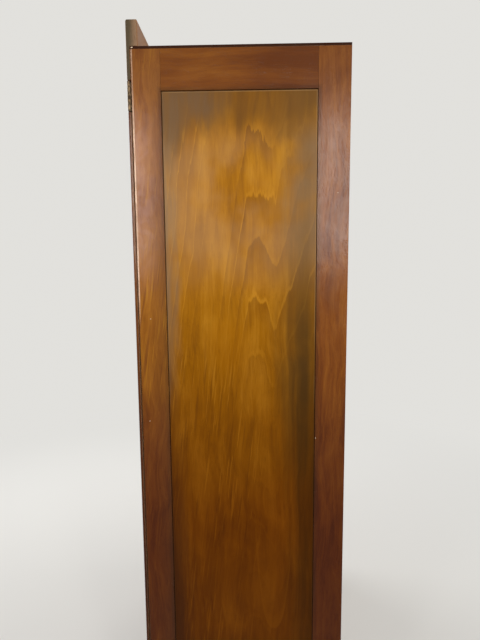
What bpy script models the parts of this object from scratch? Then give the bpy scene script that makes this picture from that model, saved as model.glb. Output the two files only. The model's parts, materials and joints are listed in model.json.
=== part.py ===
"""Double door wardrobe: panelled side frames, an upstanding crest board and lipped doors on cranked hinges.

Metres, +Z up. The doors face -Y and the right-hand door is at +X. The model is drawn in case coordinates:
X is measured from the middle, Y from the front edges of the side stiles towards the back, Z from the floor.
One empty then carries the whole case so that the origin is the middle of the overall box, on the floor.
"""

import math

import bmesh
import bpy
from mathutils import Vector

# Case
CASE_WIDTH = 0.914
CASE_HEIGHT = 1.845
CASE_DEPTH = 0.495
FIT = 0.0003
OVERCUT = 0.004

# Side frames
SIDE_THICKNESS = 0.022
FRONT_STILE_WIDTH = 0.067
BACK_STILE_WIDTH = 0.073
SIDE_TOP_RAIL_HEIGHT = 0.089
SIDE_BOTTOM_RAIL_HEIGHT = 0.140
FOOT_HEIGHT = 0.030
STILE_ARRIS = 0.005

# Frame and panel joinery, for sides and doors
PANEL_THICKNESS = 0.006
PANEL_RECESS = 0.006
GROOVE_DEPTH = 0.008
PANEL_PLAY = 0.0008
TENON_THICKNESS = 0.008
TENON_LENGTH = 0.030
STUB_TENON_LENGTH = 0.012
TENON_SHOULDER = 0.012

# Top, crest and cross rails
TOP_BOARD_THICKNESS = 0.006
CREST_THICKNESS = 0.0265
CREST_RISE = 0.056
FRIEZE_DROP = 0.071
CREST_ROUND = 0.005
CREST_BACK_ROUND = 0.002
CREST_END_ROUND = 0.003
CROSS_RAIL_THICKNESS = 0.022
BACK_RAIL_HEIGHT = 0.080

# Base
PLINTH_HEIGHT = 0.082
PLINTH_THICKNESS = 0.024
BOTTOM_BOARD_THICKNESS = 0.018
FLOOR_BEARER_WIDTH = 0.020
FLOOR_BEARER_HEIGHT = 0.025

# Back
BACK_PLY_THICKNESS = 0.004
BACK_REBATE_DEPTH = 0.006
BACK_REBATE_WIDTH = 0.010
BACK_PLY_GAP = 0.001
MUNTIN_WIDTH = 0.060
MUNTIN_THICKNESS = 0.016

# Inside
SHELF_DROP = 0.335
SHELF_THICKNESS = 0.016
SHELF_SETBACK = 0.045
SHELF_NOSE = 0.003
BEARER_THICKNESS = 0.018
BEARER_HEIGHT = 0.080
BEARER_SETBACK = 0.030
RAIL_RADIUS = 0.0125
RAIL_WALL = 0.0012
RAIL_BELOW_SHELF = 0.050
SOCKET_FLANGE_RADIUS = 0.022
SOCKET_FLANGE_THICKNESS = 0.003
SOCKET_WALL = 0.0025
SOCKET_DEPTH = 0.014

# Doors
DOOR_THICKNESS = 0.022
LIP_THICKNESS = 0.0065
LIP_GAP = 0.002
LIP_EDGE_INSET = 0.001
DOOR_CHEEK_GAP = 0.0015
DOOR_END_GAP = 0.002
MEETING_GAP = 0.002
DOOR_STOP_GAP = 0.002
STOP_OVERLAP = 0.012
DOOR_STILE_WIDTH = 0.070
DOOR_TOP_RAIL_HEIGHT = 0.092
DOOR_BOTTOM_RAIL_HEIGHT = 0.120
LIP_ARRIS = 0.003

# Cranked hinges
HINGE_HEIGHT = 0.0635
HINGE_SETBACK = 0.002
HINGE_AXIS_INSET = 0.0005
KNUCKLE_COUNT = 5
KNUCKLE_GAP = 0.0004
BARREL_RADIUS = 0.0037
BARREL_BACK_GAP = 0.001
LEAF_THICKNESS = 0.0012
LEAF_WIDTH = 0.020
LEAF_RETURN = 0.010
LEAF_END_STEP = 0.0003
BARREL_CLEARANCE = 0.0006
PIN_RADIUS = 0.0016
PIN_CLEARANCE = 0.0002
PIN_HEAD_RADIUS = 0.0030
PIN_HEAD_HEIGHT = 0.0012

# Knobs
KNOB_ABOVE_KEY = 0.090
KNOB_RADIUS = 0.0165
KNOB_PROJECTION = 0.032
KNOB_NECK_RADIUS = 0.0085
KNOB_FOOT_RADIUS = 0.0125
KNOB_FOOT_HEIGHT = 0.003

# Lock, with its key
KEY_HEIGHT = 0.930
KEY_BACKSET = 0.023
KEY_SHANK_RADIUS = 0.0025
KEY_BIT_REACH = 0.0092
KEY_BIT_THICKNESS = 0.0024
KEY_BIT_WIDTH = 0.0050
KEY_BOW_RADIUS = 0.0085
KEY_BOW_WIRE = 0.0017
KEY_BOW_CENTRE = 0.0195
KEYHOLE_CLEARANCE = 0.0007
ESCUTCHEON_HALF_WIDTH = 0.010
ESCUTCHEON_HALF_HEIGHT = 0.021
ESCUTCHEON_THICKNESS = 0.0012
LOCK_CASE_WIDTH = 0.044
LOCK_CASE_DEPTH = 0.011
LOCK_CASE_BELOW_KEY = 0.0125
LOCK_CASE_ABOVE_KEY = 0.0495
LOCK_CASE_WALL = 0.0012
LOCK_BOLT_THICKNESS = 0.006
LOCK_BOLT_BACK_GAP = 0.0008
LOCK_BOLT_HEIGHT = 0.018
LOCK_BOLT_LENGTH = 0.041
LOCK_BOLT_ABOVE_KEY = 0.005
LOCK_BOLT_THROW = 0.009
TALON_WIDTH = 0.0215
TALON_HEIGHT = 0.0055
BOLT_CLEARANCE = 0.0004

# Barrel bolts on the left-hand door
BOLT_PLATE_WIDTH = 0.028
BOLT_PLATE_LENGTH = 0.110
BOLT_PLATE_THICKNESS = 0.0015
BOLT_PLATE_FROM_END = 0.020
STAPLE_WIDTH = 0.015
STAPLE_LENGTH = 0.012
STAPLE_WALL = 0.0030
STAPLE_INSET = 0.002
ROD_RADIUS = 0.0032
ROD_STANDOFF = 0.0105
ROD_CLEARANCE = 0.0003
ROD_TIP_GAP = 0.003
ROD_TAIL = 0.020
ROD_THROW = 0.015
ROD_KNOB_RADIUS = 0.0035
ROD_KNOB_LENGTH = 0.011
ROD_KNOB_OFFSET = 0.010

# Facets of round pieces
ROUND_STEPS = 24
BARREL_STEPS = 16
ARRIS_SEGMENTS = 3

# Places worked out from the sizes above, in case coordinates
HALF = CASE_WIDTH / 2
INNER = HALF - SIDE_THICKNESS
STILE_TOP = CASE_HEIGHT - TOP_BOARD_THICKNESS - FIT
LIP_BACK = -LIP_GAP
FRONT = LIP_BACK - LIP_THICKNESS
DOOR_BACK = FRONT + DOOR_THICKNESS
CREST_BACK = FRONT + CREST_THICKNESS
PLINTH_BACK = FRONT + PLINTH_THICKNESS
FRIEZE_BOTTOM = CASE_HEIGHT - FRIEZE_DROP
PLINTH_TOP = FOOT_HEIGHT + PLINTH_HEIGHT
DOOR_LOW = PLINTH_TOP + DOOR_END_GAP
DOOR_HIGH = FRIEZE_BOTTOM - DOOR_END_GAP
STOP_FACE = DOOR_BACK + DOOR_STOP_GAP
STOP_RAIL_FRONT = max(STOP_FACE, CREST_BACK + FIT)
BOARD_FRONT = max(STOP_FACE, PLINTH_BACK + FIT)
BOARD_TOP = DOOR_LOW + STOP_OVERLAP
BOARD_UNDERSIDE = BOARD_TOP - BOTTOM_BOARD_THICKNESS
STOP_RAIL_BOTTOM = DOOR_HIGH - STOP_OVERLAP
BACK_FACE = CASE_DEPTH - BACK_REBATE_DEPTH
BACK_RAIL_FRONT = BACK_FACE - FIT - CROSS_RAIL_THICKNESS
MUNTIN_FRONT = BACK_FACE - FIT - MUNTIN_THICKNESS
SHELF_TOP = CASE_HEIGHT - SHELF_DROP
SHELF_UNDERSIDE = SHELF_TOP - SHELF_THICKNESS
BEARER_TOP = SHELF_UNDERSIDE - FIT
BEARER_FACE = INNER - FIT - BEARER_THICKNESS
RAIL_HEIGHT = SHELF_UNDERSIDE - RAIL_BELOW_SHELF
RAIL_Y = (SHELF_SETBACK + BACK_RAIL_FRONT) / 2
MEET = MEETING_GAP / 2
LIP_EDGE = HALF - LIP_EDGE_INSET
CHEEK = INNER - DOOR_CHEEK_GAP
HINGE_X = HALF - HINGE_AXIS_INSET
HINGE_Y = -(BARREL_RADIUS + BARREL_BACK_GAP)
KEY_X = MEET + KEY_BACKSET
ROD_X = MEET + DOOR_STILE_WIDTH / 2
ROD_Y = DOOR_BACK + ROD_STANDOFF
KNOB_X = MEET + DOOR_STILE_WIDTH / 2
KNOB_HEIGHT = KEY_HEIGHT + KNOB_ABOVE_KEY
REACH_FRONT = FRONT - FIT - KNOB_PROJECTION
MIDDLE_Y = (REACH_FRONT + CASE_DEPTH) / 2


# Scene helpers


def clear_scene():
    for thing in list(bpy.data.objects):
        bpy.data.objects.remove(thing, do_unlink=True)


def new_collection(name, hidden=False):
    group = bpy.data.collections.new(name)
    group.hide_render = hidden
    bpy.context.scene.collection.children.link(group)
    return group


def make_material(name, colour, roughness, metallic=0.0):
    made = bpy.data.materials.new(name)
    made.use_nodes = True
    shader = made.node_tree.nodes["Principled BSDF"]
    shader.inputs["Base Color"].default_value = (*colour, 1.0)
    shader.inputs["Roughness"].default_value = roughness
    shader.inputs["Metallic"].default_value = metallic
    return made


clear_scene()
PARTS = new_collection("double_door_wardrobe")
CUTTERS = new_collection("cutters", hidden=True)

FRAME_WOOD = make_material("frame_wood", (0.235, 0.085, 0.034), 0.30)
PANEL_WOOD = make_material("panel_wood", (0.300, 0.145, 0.036), 0.32)
INNER_WOOD = make_material("inner_wood", (0.420, 0.260, 0.130), 0.55)
BACK_PLY = make_material("back_ply", (0.360, 0.215, 0.105), 0.60)
EDGE_PLY = make_material("edge_ply", (0.060, 0.022, 0.010), 0.50)
BRASS = make_material("brass", (0.560, 0.390, 0.150), 0.35, 1.0)
STEEL = make_material("steel", (0.450, 0.440, 0.420), 0.38, 1.0)


def make_body(name, carrier, place):
    """An empty that carries a moving group, set on the group's axis. place is in case coordinates."""
    empty = bpy.data.objects.new(name, None)
    PARTS.objects.link(empty)
    empty.empty_display_size = 0.05
    empty["case_place"] = list(place)
    if carrier is None:
        empty.location = Vector(place) - Vector((0.0, MIDDLE_Y, 0.0))
    else:
        empty.parent = carrier
        empty.location = Vector(place) - Vector(carrier["case_place"])
    return empty


CASE = make_body("case", None, (0.0, 0.0, 0.0))
DOORS = {
    +1: make_body("right_door", CASE, (HINGE_X, HINGE_Y, 0.0)),
    -1: make_body("left_door", CASE, (-HINGE_X, HINGE_Y, 0.0)),
}
KEY_BODY = make_body("key_axis", DOORS[+1], (KEY_X, FRONT, KEY_HEIGHT))


def add_object(name, mesh, body, centre, finish):
    """Links a mesh as a named piece of a body, or as a cutter when it has no finish."""
    piece = bpy.data.objects.new(name, mesh)
    piece.parent = body
    piece.location = Vector(centre) - Vector(body["case_place"])
    if finish is None:
        CUTTERS.objects.link(piece)
        piece.hide_render = True
        piece.display_type = "WIRE"
    else:
        PARTS.objects.link(piece)
        mesh.materials.append(finish)
    return piece


def box(name, x, y, z, body, finish=None):
    """A board, or a cutter, between two corners given in case coordinates."""
    low = Vector((min(x), min(y), min(z)))
    high = Vector((max(x), max(y), max(z)))
    mesh = bpy.data.meshes.new(name)
    shape = bmesh.new()
    bmesh.ops.create_cube(shape, size=1.0)
    bmesh.ops.scale(shape, vec=high - low, verts=shape.verts)
    shape.to_mesh(mesh)
    shape.free()
    return add_object(name, mesh, body, (low + high) / 2, finish)


def rod(name, radius, start, end, body, finish=None, steps=BARREL_STEPS):
    """A round bar, or a round cutter, between two points given in case coordinates."""
    start, end = Vector(start), Vector(end)
    mesh = bpy.data.meshes.new(name)
    shape = bmesh.new()
    bmesh.ops.create_cone(
        shape,
        cap_ends=True,
        segments=steps,
        radius1=radius,
        radius2=radius,
        depth=(end - start).length,
    )
    shape.to_mesh(mesh)
    shape.free()
    mesh.shade_smooth()
    mesh.set_sharp_from_angle(angle=math.radians(40))
    piece = add_object(name, mesh, body, (start + end) / 2, finish)
    piece.rotation_mode = "QUATERNION"
    piece.rotation_quaternion = Vector((0, 0, 1)).rotation_difference(end - start)
    return piece


def turned(name, profile, foot, direction, body, finish, steps=ROUND_STEPS):
    """A turned piece. profile runs down the outer side as (radius, height above the foot)."""
    mesh = bpy.data.meshes.new(name)
    edges = [(i, i + 1) for i in range(len(profile) - 1)]
    mesh.from_pydata([(radius, 0.0, height) for radius, height in profile], edges, [])
    piece = add_object(name, mesh, body, foot, finish)
    piece.rotation_mode = "QUATERNION"
    piece.rotation_quaternion = Vector((0, 0, 1)).rotation_difference(Vector(direction))
    screw = piece.modifiers.new("turn", "SCREW")
    screw.steps = steps
    screw.render_steps = steps
    screw.use_merge_vertices = True
    screw.merge_threshold = 0.00001
    return piece


def outline(name, loops, middle, half_depth, body, finish, direction=(0, 0, 1), top=(0, 1, 0)):
    """A flat outline of one or more closed loops, thickened both ways from its middle, as a mesh."""
    curve = bpy.data.curves.new(name + "_outline", "CURVE")
    curve.dimensions = "2D"
    curve.fill_mode = "BOTH"
    curve.extrude = half_depth
    for points in loops:
        spline = curve.splines.new("POLY")
        spline.points.add(len(points) - 1)
        for point, (u, v) in zip(spline.points, points):
            point.co = (u, v, 0.0, 1.0)
        spline.use_cyclic_u = True
    drawn = bpy.data.objects.new(name + "_outline", curve)
    CUTTERS.objects.link(drawn)
    graph = bpy.context.evaluated_depsgraph_get()
    mesh = bpy.data.meshes.new_from_object(drawn.evaluated_get(graph))
    bpy.data.objects.remove(drawn, do_unlink=True)
    shape = bmesh.new()
    shape.from_mesh(mesh)
    bmesh.ops.remove_doubles(shape, verts=shape.verts, dist=0.000001)
    bmesh.ops.recalc_face_normals(shape, faces=shape.faces)
    shape.to_mesh(mesh)
    shape.free()
    mesh.name = name
    mesh.materials.clear()
    piece = add_object(name, mesh, body, middle, finish)
    piece.rotation_mode = "QUATERNION"
    forward, upward = Vector(direction), Vector(top)
    turn = Vector((0, 0, 1)).rotation_difference(forward)
    lean = (turn @ Vector((0, 1, 0))).rotation_difference(upward)
    piece.rotation_quaternion = lean @ turn
    return piece


def combine(piece, operation, others):
    for other in others:
        step = piece.modifiers.new(other.name, "BOOLEAN")
        step.operation = operation
        step.solver = "EXACT"
        step.object = other


def cut(piece, *cutters):
    combine(piece, "DIFFERENCE", cutters)


def join(piece, *others):
    combine(piece, "UNION", others)


def round_edges(piece, *lines):
    """Rounds the edges of a board that lie on the lines. A line is (radius, two case coordinates by name)."""
    widest = max(radius for radius, _ in lines)
    place = piece.location + Vector(piece.parent["case_place"])
    weight = piece.data.attributes.new("bevel_weight_edge", "FLOAT", "EDGE")
    corners = piece.data.vertices
    for edge in piece.data.edges:
        middle = place + (corners[edge.vertices[0]].co + corners[edge.vertices[1]].co) / 2
        for radius, line in lines:
            if all(abs(getattr(middle, axis) - value) < 0.00001 for axis, value in line.items()):
                weight.data[edge.index].value = radius / widest
    bevel = piece.modifiers.new("arris", "BEVEL")
    bevel.limit_method = "WEIGHT"
    bevel.width = widest
    bevel.segments = ARRIS_SEGMENTS


def mirrored(side, *values):
    """The values on the right-hand (+1) or left-hand (-1) half of the wardrobe."""
    return tuple(side * value for value in values)


def grown(span, by):
    return (min(span) - by, max(span) + by)


# Frame and panel joinery


def tenoned_rail(name, body, span, finish, along, tenon, length):
    """A board with a tenon on both ends. span and tenon hold its ranges by axis name, along is its length."""
    piece = box(name, span["x"], span["y"], span["z"], body, finish)
    reach = dict(tenon)
    reach[along] = grown(span[along], length + FIT)
    join(piece, box(name + "_tenon", reach["x"], reach["y"], reach["z"], body))
    return piece


def mortise(piece, name, body, tenon, along, mouth, depth):
    """Cuts the pocket that a tenon enters. mouth is the face it enters by, depth is signed along the axis."""
    inward = math.copysign(1.0, depth)
    pocket = {axis: grown(tenon[axis], FIT) for axis in "xyz" if axis != along}
    pocket[along] = (mouth - inward * OVERCUT, mouth + depth + inward * 2 * FIT)
    cut(piece, box(name, pocket["x"], pocket["y"], pocket["z"], body))


# Side frames


def side_frame(side, name):
    x_frame = mirrored(side, INNER, HALF)
    x_panel = mirrored(side, HALF - PANEL_RECESS - PANEL_THICKNESS, HALF - PANEL_RECESS)
    x_groove = grown(x_panel, FIT)
    x_middle = sum(x_panel) / 2
    x_tenon = (x_middle - TENON_THICKNESS / 2, x_middle + TENON_THICKNESS / 2)
    y_front = FRONT_STILE_WIDTH
    y_back = CASE_DEPTH - BACK_STILE_WIDTH
    z_low = FOOT_HEIGHT + SIDE_BOTTOM_RAIL_HEIGHT
    z_high = STILE_TOP - SIDE_TOP_RAIL_HEIGHT
    z_groove = grown((z_low, z_high), GROOVE_DEPTH)

    front = box(f"{name}_front_stile", x_frame, (0.0, y_front), (0.0, STILE_TOP), CASE, FRAME_WOOD)
    round_edges(front, (STILE_ARRIS, {"x": side * HALF, "y": 0.0}))
    back = box(f"{name}_back_stile", x_frame, (y_back, CASE_DEPTH), (0.0, STILE_TOP), CASE, FRAME_WOOD)
    cut(
        front,
        box(f"{name}_front_groove", x_groove, (y_front - GROOVE_DEPTH, y_front + OVERCUT), z_groove, CASE),
    )
    cut(
        back,
        box(f"{name}_back_groove", x_groove, (y_back - OVERCUT, y_back + GROOVE_DEPTH), z_groove, CASE),
        box(
            f"{name}_back_rebate",
            mirrored(side, INNER - OVERCUT, INNER + BACK_REBATE_WIDTH),
            (BACK_FACE, CASE_DEPTH + OVERCUT),
            (-OVERCUT, STILE_TOP + OVERCUT),
            CASE,
        ),
    )

    y_rail = (y_front + FIT, y_back - FIT)
    rails = {"top": (z_high, STILE_TOP), "bottom": (FOOT_HEIGHT, z_low)}
    for place, z_rail in rails.items():
        tenon = {"x": x_tenon, "z": grown(z_rail, -TENON_SHOULDER)}
        span = {"x": x_frame, "y": y_rail, "z": z_rail}
        rail = tenoned_rail(f"{name}_{place}_rail", CASE, span, FRAME_WOOD, "y", tenon, TENON_LENGTH)
        edge, inward = (z_high, GROOVE_DEPTH) if place == "top" else (z_low, -GROOVE_DEPTH)
        z_cut = (edge - math.copysign(OVERCUT, inward), edge + inward)
        y_cut = grown(y_rail, TENON_LENGTH + OVERCUT)
        cut(rail, box(f"{name}_{place}_rail_groove", x_groove, y_cut, z_cut, CASE))
        mortise(front, f"{name}_front_{place}_mortise", CASE, tenon, "y", y_front, -TENON_LENGTH)
        mortise(back, f"{name}_back_{place}_mortise", CASE, tenon, "y", y_back, TENON_LENGTH)

    box(
        f"{name}_panel",
        x_panel,
        grown((y_front, y_back), GROOVE_DEPTH - PANEL_PLAY),
        grown((z_low, z_high), GROOVE_DEPTH - PANEL_PLAY),
        CASE,
        PANEL_WOOD,
    )
    return front, back


FRONT_STILES, BACK_STILES = {}, {}
for hand, hand_name in ((+1, "right_side"), (-1, "left_side")):
    FRONT_STILES[hand], BACK_STILES[hand] = side_frame(hand, hand_name)


# Cross rails, crest, top and base


def cross_rail(name, y_rail, z_rail, stiles):
    """A rail between the two sides, with a stub tenon in a stile at each end."""
    y_middle = sum(y_rail) / 2
    half_tenon = TENON_THICKNESS / 2
    tenon = {"y": (y_middle - half_tenon, y_middle + half_tenon), "z": grown(z_rail, -TENON_SHOULDER)}
    span = {"x": (-INNER + FIT, INNER - FIT), "y": y_rail, "z": z_rail}
    rail = tenoned_rail(name, CASE, span, INNER_WOOD, "x", tenon, STUB_TENON_LENGTH)
    for side, stile in stiles.items():
        mortise(stile, f"{name}_mortise_{side}", CASE, tenon, "x", side * INNER, side * STUB_TENON_LENGTH)
    return rail


TOP_FRONT_RAIL = cross_rail(
    "top_front_rail",
    (STOP_RAIL_FRONT, STOP_RAIL_FRONT + CROSS_RAIL_THICKNESS),
    (STOP_RAIL_BOTTOM, STILE_TOP),
    FRONT_STILES,
)
cross_rail(
    "top_back_rail",
    (BACK_RAIL_FRONT, BACK_FACE - FIT),
    (STILE_TOP - BACK_RAIL_HEIGHT, STILE_TOP),
    BACK_STILES,
)
cross_rail(
    "bottom_back_rail",
    (BACK_RAIL_FRONT, BACK_FACE - FIT),
    (FOOT_HEIGHT, BOARD_TOP),
    BACK_STILES,
)


def lapped_board(name, y_back, z_board, z_notch):
    """A front board that laps over the side stiles: its back is notched round them at both ends."""
    piece = box(name, (-HALF, HALF), (FRONT, y_back), z_board, CASE, FRAME_WOOD)
    for side in (+1, -1):
        x_notch = mirrored(side, INNER - FIT, HALF + OVERCUT)
        cut(piece, box(f"{name}_notch_{side}", x_notch, (-FIT, y_back + OVERCUT), z_notch, CASE))
    return piece


CREST_TOP = CASE_HEIGHT + CREST_RISE
crest = lapped_board(
    "crest_board",
    CREST_BACK,
    (FRIEZE_BOTTOM, CREST_TOP),
    (FRIEZE_BOTTOM - OVERCUT, CASE_HEIGHT + FIT),
)
round_edges(
    crest,
    (CREST_ROUND, {"y": FRONT, "z": CREST_TOP}),
    (CREST_BACK_ROUND, {"y": CREST_BACK, "z": CREST_TOP}),
    *((LIP_ARRIS, {"x": side * HALF, "y": FRONT}) for side in (+1, -1)),
    *((CREST_END_ROUND, {"x": side * HALF, "y": CREST_BACK}) for side in (+1, -1)),
)
crest.modifiers.move(len(crest.modifiers) - 1, 0)

plinth = lapped_board(
    "plinth_board",
    PLINTH_BACK,
    (FOOT_HEIGHT, PLINTH_TOP),
    (FOOT_HEIGHT - OVERCUT, PLINTH_TOP + OVERCUT),
)
round_edges(plinth, *((LIP_ARRIS, {"x": side * HALF, "y": FRONT}) for side in (+1, -1)))
plinth.modifiers.move(len(plinth.modifiers) - 1, 0)

top_board = box(
    "top_board",
    (-HALF, HALF),
    (0.0, CASE_DEPTH),
    (CASE_HEIGHT - TOP_BOARD_THICKNESS, CASE_HEIGHT),
    CASE,
    EDGE_PLY,
)
cut(
    top_board,
    box(
        "top_board_notch",
        (-INNER, INNER),
        (-OVERCUT, CREST_BACK + FIT),
        grown((CASE_HEIGHT - TOP_BOARD_THICKNESS, CASE_HEIGHT), OVERCUT),
        CASE,
    ),
)

BOTTOM_BOARD = box(
    "bottom_board",
    (-INNER + FIT, INNER - FIT),
    (BOARD_FRONT, BACK_RAIL_FRONT - FIT),
    (BOARD_UNDERSIDE, BOARD_TOP),
    CASE,
    INNER_WOOD,
)
for hand, hand_name in ((+1, "right"), (-1, "left")):
    box(
        f"{hand_name}_floor_bearer",
        mirrored(hand, INNER - FIT - FLOOR_BEARER_WIDTH, INNER - FIT),
        (PLINTH_BACK + FIT, BACK_RAIL_FRONT - FIT),
        (BOARD_UNDERSIDE - FIT - FLOOR_BEARER_HEIGHT, BOARD_UNDERSIDE - FIT),
        CASE,
        INNER_WOOD,
    )


# Back


box(
    "back_muntin",
    (-MUNTIN_WIDTH / 2, MUNTIN_WIDTH / 2),
    (MUNTIN_FRONT, BACK_FACE - FIT),
    (BOARD_TOP + FIT, STILE_TOP - BACK_RAIL_HEIGHT - FIT),
    CASE,
    INNER_WOOD,
)
for hand, hand_name in ((+1, "right"), (-1, "left")):
    box(
        f"{hand_name}_back_panel",
        mirrored(hand, BACK_PLY_GAP / 2, INNER + BACK_REBATE_WIDTH - FIT),
        (BACK_FACE + FIT, BACK_FACE + FIT + BACK_PLY_THICKNESS),
        (FOOT_HEIGHT, STILE_TOP),
        CASE,
        BACK_PLY,
    )


# Hat shelf and hanging rail


shelf = box(
    "hat_shelf",
    (-INNER + FIT, INNER - FIT),
    (SHELF_SETBACK, MUNTIN_FRONT - FIT),
    (SHELF_UNDERSIDE, SHELF_TOP),
    CASE,
    INNER_WOOD,
)
round_edges(shelf, (SHELF_NOSE, {"y": SHELF_SETBACK, "z": SHELF_TOP}))

SOCKET_BORE = RAIL_RADIUS + FIT
SOCKET_PROFILE = [
    (0.0, SOCKET_FLANGE_THICKNESS),
    (SOCKET_BORE, SOCKET_FLANGE_THICKNESS),
    (SOCKET_BORE, SOCKET_DEPTH),
    (SOCKET_BORE + SOCKET_WALL, SOCKET_DEPTH),
    (SOCKET_BORE + SOCKET_WALL, SOCKET_FLANGE_THICKNESS),
    (SOCKET_FLANGE_RADIUS, SOCKET_FLANGE_THICKNESS),
    (SOCKET_FLANGE_RADIUS, 0.0),
    (0.0, 0.0),
]
for hand, hand_name in ((+1, "right"), (-1, "left")):
    box(
        f"{hand_name}_shelf_bearer",
        mirrored(hand, BEARER_FACE, INNER - FIT),
        (BEARER_SETBACK, BACK_RAIL_FRONT - FIT),
        (BEARER_TOP - BEARER_HEIGHT, BEARER_TOP),
        CASE,
        INNER_WOOD,
    )
    turned(
        f"{hand_name}_rail_socket",
        SOCKET_PROFILE,
        (hand * (BEARER_FACE - FIT), RAIL_Y, RAIL_HEIGHT),
        (-hand, 0, 0),
        CASE,
        BRASS,
    )

RAIL_END = BEARER_FACE - FIT - SOCKET_FLANGE_THICKNESS - FIT
hanging_rail = rod(
    "hanging_rail",
    RAIL_RADIUS,
    (-RAIL_END, RAIL_Y, RAIL_HEIGHT),
    (RAIL_END, RAIL_Y, RAIL_HEIGHT),
    CASE,
    BRASS,
    ROUND_STEPS,
)
cut(
    hanging_rail,
    rod(
        "hanging_rail_bore",
        RAIL_RADIUS - RAIL_WALL,
        (-RAIL_END - OVERCUT, RAIL_Y, RAIL_HEIGHT),
        (RAIL_END + OVERCUT, RAIL_Y, RAIL_HEIGHT),
        CASE,
        steps=ROUND_STEPS,
    ),
)


# Doors


def door(side, name):
    body = DOORS[side]
    x_hinge = LIP_EDGE - DOOR_STILE_WIDTH
    x_meet = MEET + DOOR_STILE_WIDTH
    y_door = (FRONT, DOOR_BACK)
    z_door = (DOOR_LOW, DOOR_HIGH)
    y_panel = (FRONT + PANEL_RECESS, FRONT + PANEL_RECESS + PANEL_THICKNESS)
    y_groove = grown(y_panel, FIT)
    y_middle = sum(y_panel) / 2
    y_tenon = (y_middle - TENON_THICKNESS / 2, y_middle + TENON_THICKNESS / 2)
    z_low = DOOR_LOW + DOOR_BOTTOM_RAIL_HEIGHT
    z_high = DOOR_HIGH - DOOR_TOP_RAIL_HEIGHT
    z_groove = grown((z_low, z_high), GROOVE_DEPTH)

    hinge_stile = box(
        f"{name}_hinge_stile", mirrored(side, x_hinge, LIP_EDGE), y_door, z_door, body, FRAME_WOOD
    )
    round_edges(hinge_stile, (LIP_ARRIS, {"x": side * LIP_EDGE, "y": FRONT}))
    meeting_stile = box(
        f"{name}_meeting_stile", mirrored(side, MEET, x_meet), y_door, z_door, body, FRAME_WOOD
    )
    cut(
        hinge_stile,
        box(
            f"{name}_rebate",
            mirrored(side, CHEEK, LIP_EDGE + OVERCUT),
            (LIP_BACK, DOOR_BACK + OVERCUT),
            grown(z_door, OVERCUT),
            body,
        ),
        box(
            f"{name}_hinge_stile_groove",
            mirrored(side, x_hinge - OVERCUT, x_hinge + GROOVE_DEPTH),
            y_groove,
            z_groove,
            body,
        ),
    )
    cut(
        meeting_stile,
        box(
            f"{name}_meeting_stile_groove",
            mirrored(side, x_meet - GROOVE_DEPTH, x_meet + OVERCUT),
            y_groove,
            z_groove,
            body,
        ),
    )

    x_rail = mirrored(side, x_meet + FIT, x_hinge - FIT)
    rails = {"top": (z_high, DOOR_HIGH), "bottom": (DOOR_LOW, z_low)}
    for place, z_rail in rails.items():
        tenon = {"y": y_tenon, "z": grown(z_rail, -TENON_SHOULDER)}
        span = {"x": x_rail, "y": y_door, "z": z_rail}
        rail = tenoned_rail(f"{name}_{place}_rail", body, span, FRAME_WOOD, "x", tenon, TENON_LENGTH)
        edge, inward = (z_high, GROOVE_DEPTH) if place == "top" else (z_low, -GROOVE_DEPTH)
        z_cut = (edge - math.copysign(OVERCUT, inward), edge + inward)
        x_cut = grown(x_rail, TENON_LENGTH + OVERCUT)
        cut(rail, box(f"{name}_{place}_rail_groove", x_cut, y_groove, z_cut, body))
        mortise(
            hinge_stile,
            f"{name}_hinge_{place}_mortise",
            body,
            tenon,
            "x",
            side * x_hinge,
            side * TENON_LENGTH,
        )
        mortise(
            meeting_stile,
            f"{name}_meeting_{place}_mortise",
            body,
            tenon,
            "x",
            side * x_meet,
            -side * TENON_LENGTH,
        )

    box(
        f"{name}_panel",
        grown(mirrored(side, x_meet, x_hinge), GROOVE_DEPTH - PANEL_PLAY),
        y_panel,
        grown((z_low, z_high), GROOVE_DEPTH - PANEL_PLAY),
        body,
        PANEL_WOOD,
    )
    return hinge_stile, meeting_stile


# Knobs


def knob_profile():
    """Crown to foot: a flattened ball on a waisted neck, with a flat foot."""
    ball_low = KNOB_PROJECTION * 0.42
    ball_middle = (KNOB_PROJECTION + ball_low) / 2
    ball_half = KNOB_PROJECTION - ball_middle
    neck_angle = math.asin(KNOB_NECK_RADIUS / KNOB_RADIUS)
    ball_steps = 9
    points = []
    for step in range(ball_steps + 1):
        angle = (math.pi - neck_angle) * step / ball_steps
        points.append((KNOB_RADIUS * math.sin(angle), ball_middle + ball_half * math.cos(angle)))
    points.append((KNOB_NECK_RADIUS, KNOB_FOOT_HEIGHT + (ball_low - KNOB_FOOT_HEIGHT) * 0.35))
    points.append((KNOB_FOOT_RADIUS, KNOB_FOOT_HEIGHT))
    points.append((KNOB_FOOT_RADIUS, 0.0))
    points.append((0.0, 0.0))
    return points


# Hinges


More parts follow.
